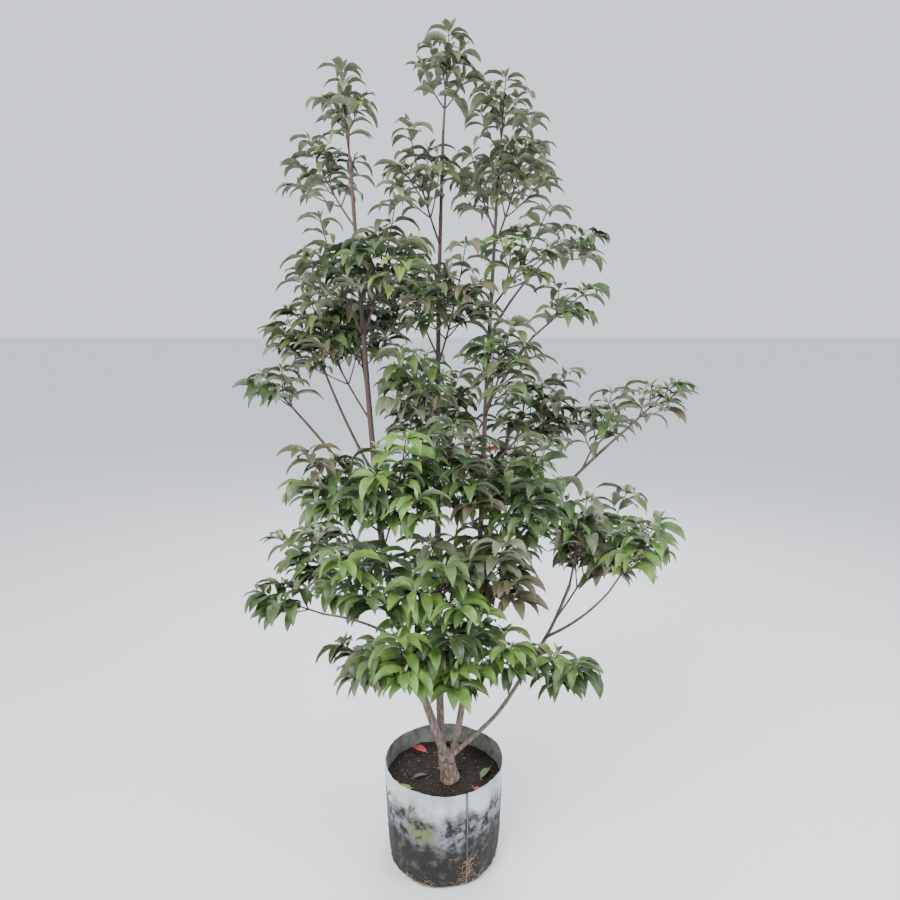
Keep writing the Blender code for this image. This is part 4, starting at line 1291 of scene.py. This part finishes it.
def grain_object(name, count, sizes, relief):
    """Many small lumps on the soil as one joined mesh."""
    rng = np.random.default_rng(sum(map(ord, name)))
    ball = bmesh.new()
    bmesh.ops.create_icosphere(ball, subdivisions=1, radius=1.0)
    shape = np.array([v.co for v in ball.verts])
    tris = np.array([[v.index for v in f.verts] for f in ball.faces])
    ball.free()
    angle = rng.uniform(0, 2 * math.pi, count)
    radius = CRUMB_REACH * np.sqrt(rng.uniform(0, 1, count))
    x, y = radius * np.cos(angle), radius * np.sin(angle)
    size = rng.uniform(0, 1, count) ** 2.2 * (sizes[1] - sizes[0]) + sizes[0]
    z = np.array([soil_height(a, b, relief) for a, b in zip(x, y)]) + size * 0.25
    squash = rng.uniform(0.45, 1.0, (count, 1, 3)) * size[:, None, None]
    lumps = shape[None] * squash * rng.uniform(0.8, 1.2, (count, len(shape), 1))
    spin = rng.uniform(0, math.pi, count)
    turned = np.stack([lumps[..., 0] * np.cos(spin)[:, None] - lumps[..., 1] * np.sin(spin)[:, None],
                       lumps[..., 0] * np.sin(spin)[:, None] + lumps[..., 1] * np.cos(spin)[:, None],
                       lumps[..., 2]], -1)
    verts = turned + np.stack([x, y, z], 1)[:, None]
    faces = (tris[None] + np.arange(count)[:, None, None] * len(shape)).reshape(-1, 3)
    return mesh_object(name, verts.reshape(-1, 3), [faces])


def build_litter(leaves, soil):
    """Fallen leaves on the soil."""
    under = leaf_material("litter_underside", leaves.under, 0.7, 0.3)
    for number, leaf in enumerate(FALLEN_LEAVES, 1):
        root = Vector((leaf.x, leaf.y, soil_height(leaf.x, leaf.y, soil.relief) + 0.007))
        spot = Spot(root, leaf.azimuth, 8.0, 22.0, leaf.length, leaf.length * 0.42, 12.0, leaf.kind)
        thing = leaf_object("fallen_leaf_%d" % number, [spot])
        upper = leaf_material("fallen_%s_%d" % (leaf.kind, number), getattr(leaves, leaf.kind), 0.55, 0.5)
        dress(thing, "leaf_green", [upper, under])


# Stage

def build_stage(settings):
    """Pale floor, soft light from all round, three large soft lights, and the camera."""
    scene = bpy.context.scene
    corners = FLOOR_HALF * np.array([(-1, -1, 0), (1, -1, 0), (1, 1, 0), (-1, 1, 0)])
    floor = mesh_object("floor", corners, [np.array([[0, 1, 2, 3]])])
    pale = Finish("pale_floor", 0.9)
    pale.feed(pale.shader.inputs["Base Color"], rgba(settings.floor))
    floor.data.materials.append(pale.material)
    floor.location.z = -0.0005
    world = bpy.data.worlds.new("daylight")
    world.use_nodes = True
    sky = world.node_tree.nodes["Background"]
    sky.inputs["Color"].default_value = (0.86, 0.92, 1.0, 1.0)
    sky.inputs["Strength"].default_value = settings.daylight
    scene.world = world
    for lamp in LAMPS:
        light = bpy.data.lights.new(lamp.name, "AREA")
        light.energy = settings.key * lamp.share
        light.size = lamp.size
        light.color = lamp.colour
        thing = bpy.data.objects.new(lamp.name, light)
        thing.location = lamp.place
        thing.rotation_euler = (Vector(lamp.place) - LIGHTS_AIM).to_track_quat("Z", "Y").to_euler()
        scene.collection.objects.link(thing)
    camera = bpy.data.cameras.new("camera")
    camera.sensor_width = CAMERA_SENSOR
    camera.lens = CAMERA_LENS
    camera.clip_end = 200.0
    view = bpy.data.objects.new("camera", camera)
    view.location = CAMERA_PLACE
    view.rotation_euler = (math.radians(90 - CAMERA_TILT), 0, 0)
    scene.collection.objects.link(view)
    scene.camera = view


class DOGWOOD_OT_limbs(bpy.types.Operator):
    """Give the trunk, stems and boughs their bark"""
    bl_idname = "dogwood.limbs"
    bl_label = "Limbs"

    def execute(self, context):
        build_limbs(context.scene.dogwood_bark)
        return {"FINISHED"}


class DOGWOOD_OT_foliage(bpy.types.Operator):
    """Grow the twigs and leaves of all foliage masses"""
    bl_idname = "dogwood.foliage"
    bl_label = "Foliage"

    def execute(self, context):
        build_foliage(context.scene.dogwood_leaves, context.scene.dogwood_bark)
        return {"FINISHED"}


class DOGWOOD_OT_bag(bpy.types.Operator):
    """Make the worn film of the grow bag with its seam"""
    bl_idname = "dogwood.bag"
    bl_label = "Grow bag"

    def execute(self, context):
        build_bag(context.scene.dogwood_bag)
        return {"FINISHED"}


class DOGWOOD_OT_roots(bpy.types.Operator):
    """Make the fine roots outside the grow bag"""
    bl_idname = "dogwood.roots"
    bl_label = "Fine roots"

    def execute(self, context):
        build_roots(context.scene.dogwood_bag)
        return {"FINISHED"}


class DOGWOOD_OT_soil(bpy.types.Operator):
    """Make the soil with its crumbs and grains"""
    bl_idname = "dogwood.soil"
    bl_label = "Soil"

    def execute(self, context):
        build_soil(context.scene.dogwood_soil)
        return {"FINISHED"}


class DOGWOOD_OT_litter(bpy.types.Operator):
    """Scatter the fallen leaves on the soil"""
    bl_idname = "dogwood.litter"
    bl_label = "Fallen leaves"

    def execute(self, context):
        build_litter(context.scene.dogwood_leaves, context.scene.dogwood_soil)
        return {"FINISHED"}


class DOGWOOD_OT_stage(bpy.types.Operator):
    """Make the floor, the lights and the camera"""
    bl_idname = "dogwood.stage"
    bl_label = "Stage"

    def execute(self, context):
        build_stage(context.scene.dogwood_stage)
        return {"FINISHED"}


class DOGWOOD_PT_panel(bpy.types.Panel):
    """Lists the plant's pieces"""
    bl_idname = "DOGWOOD_PT_panel"
    bl_label = "Dogwood"
    bl_space_type = "VIEW_3D"
    bl_region_type = "UI"
    bl_category = "Dogwood"

    def draw(self, context):
        for operator in OPERATORS:
            self.layout.operator(operator.bl_idname)


OPERATORS = (DOGWOOD_OT_stage, DOGWOOD_OT_limbs, DOGWOOD_OT_foliage, DOGWOOD_OT_bag, DOGWOOD_OT_roots,
             DOGWOOD_OT_soil, DOGWOOD_OT_litter)
SETTINGS = {"dogwood_leaves": LeafSettings, "dogwood_bark": BarkSettings, "dogwood_bag": BagSettings,
            "dogwood_soil": SoilSettings, "dogwood_stage": StageSettings}


def register():
    """Add the settings, operators and panel."""
    for name, group in SETTINGS.items():
        bpy.utils.register_class(group)
        setattr(bpy.types.Scene, name, PointerProperty(type=group))
    for operator in OPERATORS + (DOGWOOD_PT_panel,):
        bpy.utils.register_class(operator)


def unregister():
    """Remove the settings, operators and panel."""
    for operator in reversed(OPERATORS + (DOGWOOD_PT_panel,)):
        bpy.utils.unregister_class(operator)
    for name, group in SETTINGS.items():
        delattr(bpy.types.Scene, name)
        bpy.utils.unregister_class(group)


def main():
    """Make every piece in order."""
    register()
    bpy.ops.dogwood.stage()
    bpy.ops.dogwood.limbs()
    bpy.ops.dogwood.foliage()
    bpy.ops.dogwood.bag()
    bpy.ops.dogwood.roots()
    bpy.ops.dogwood.soil()
    bpy.ops.dogwood.litter()


if __name__ == "__main__":
    main()
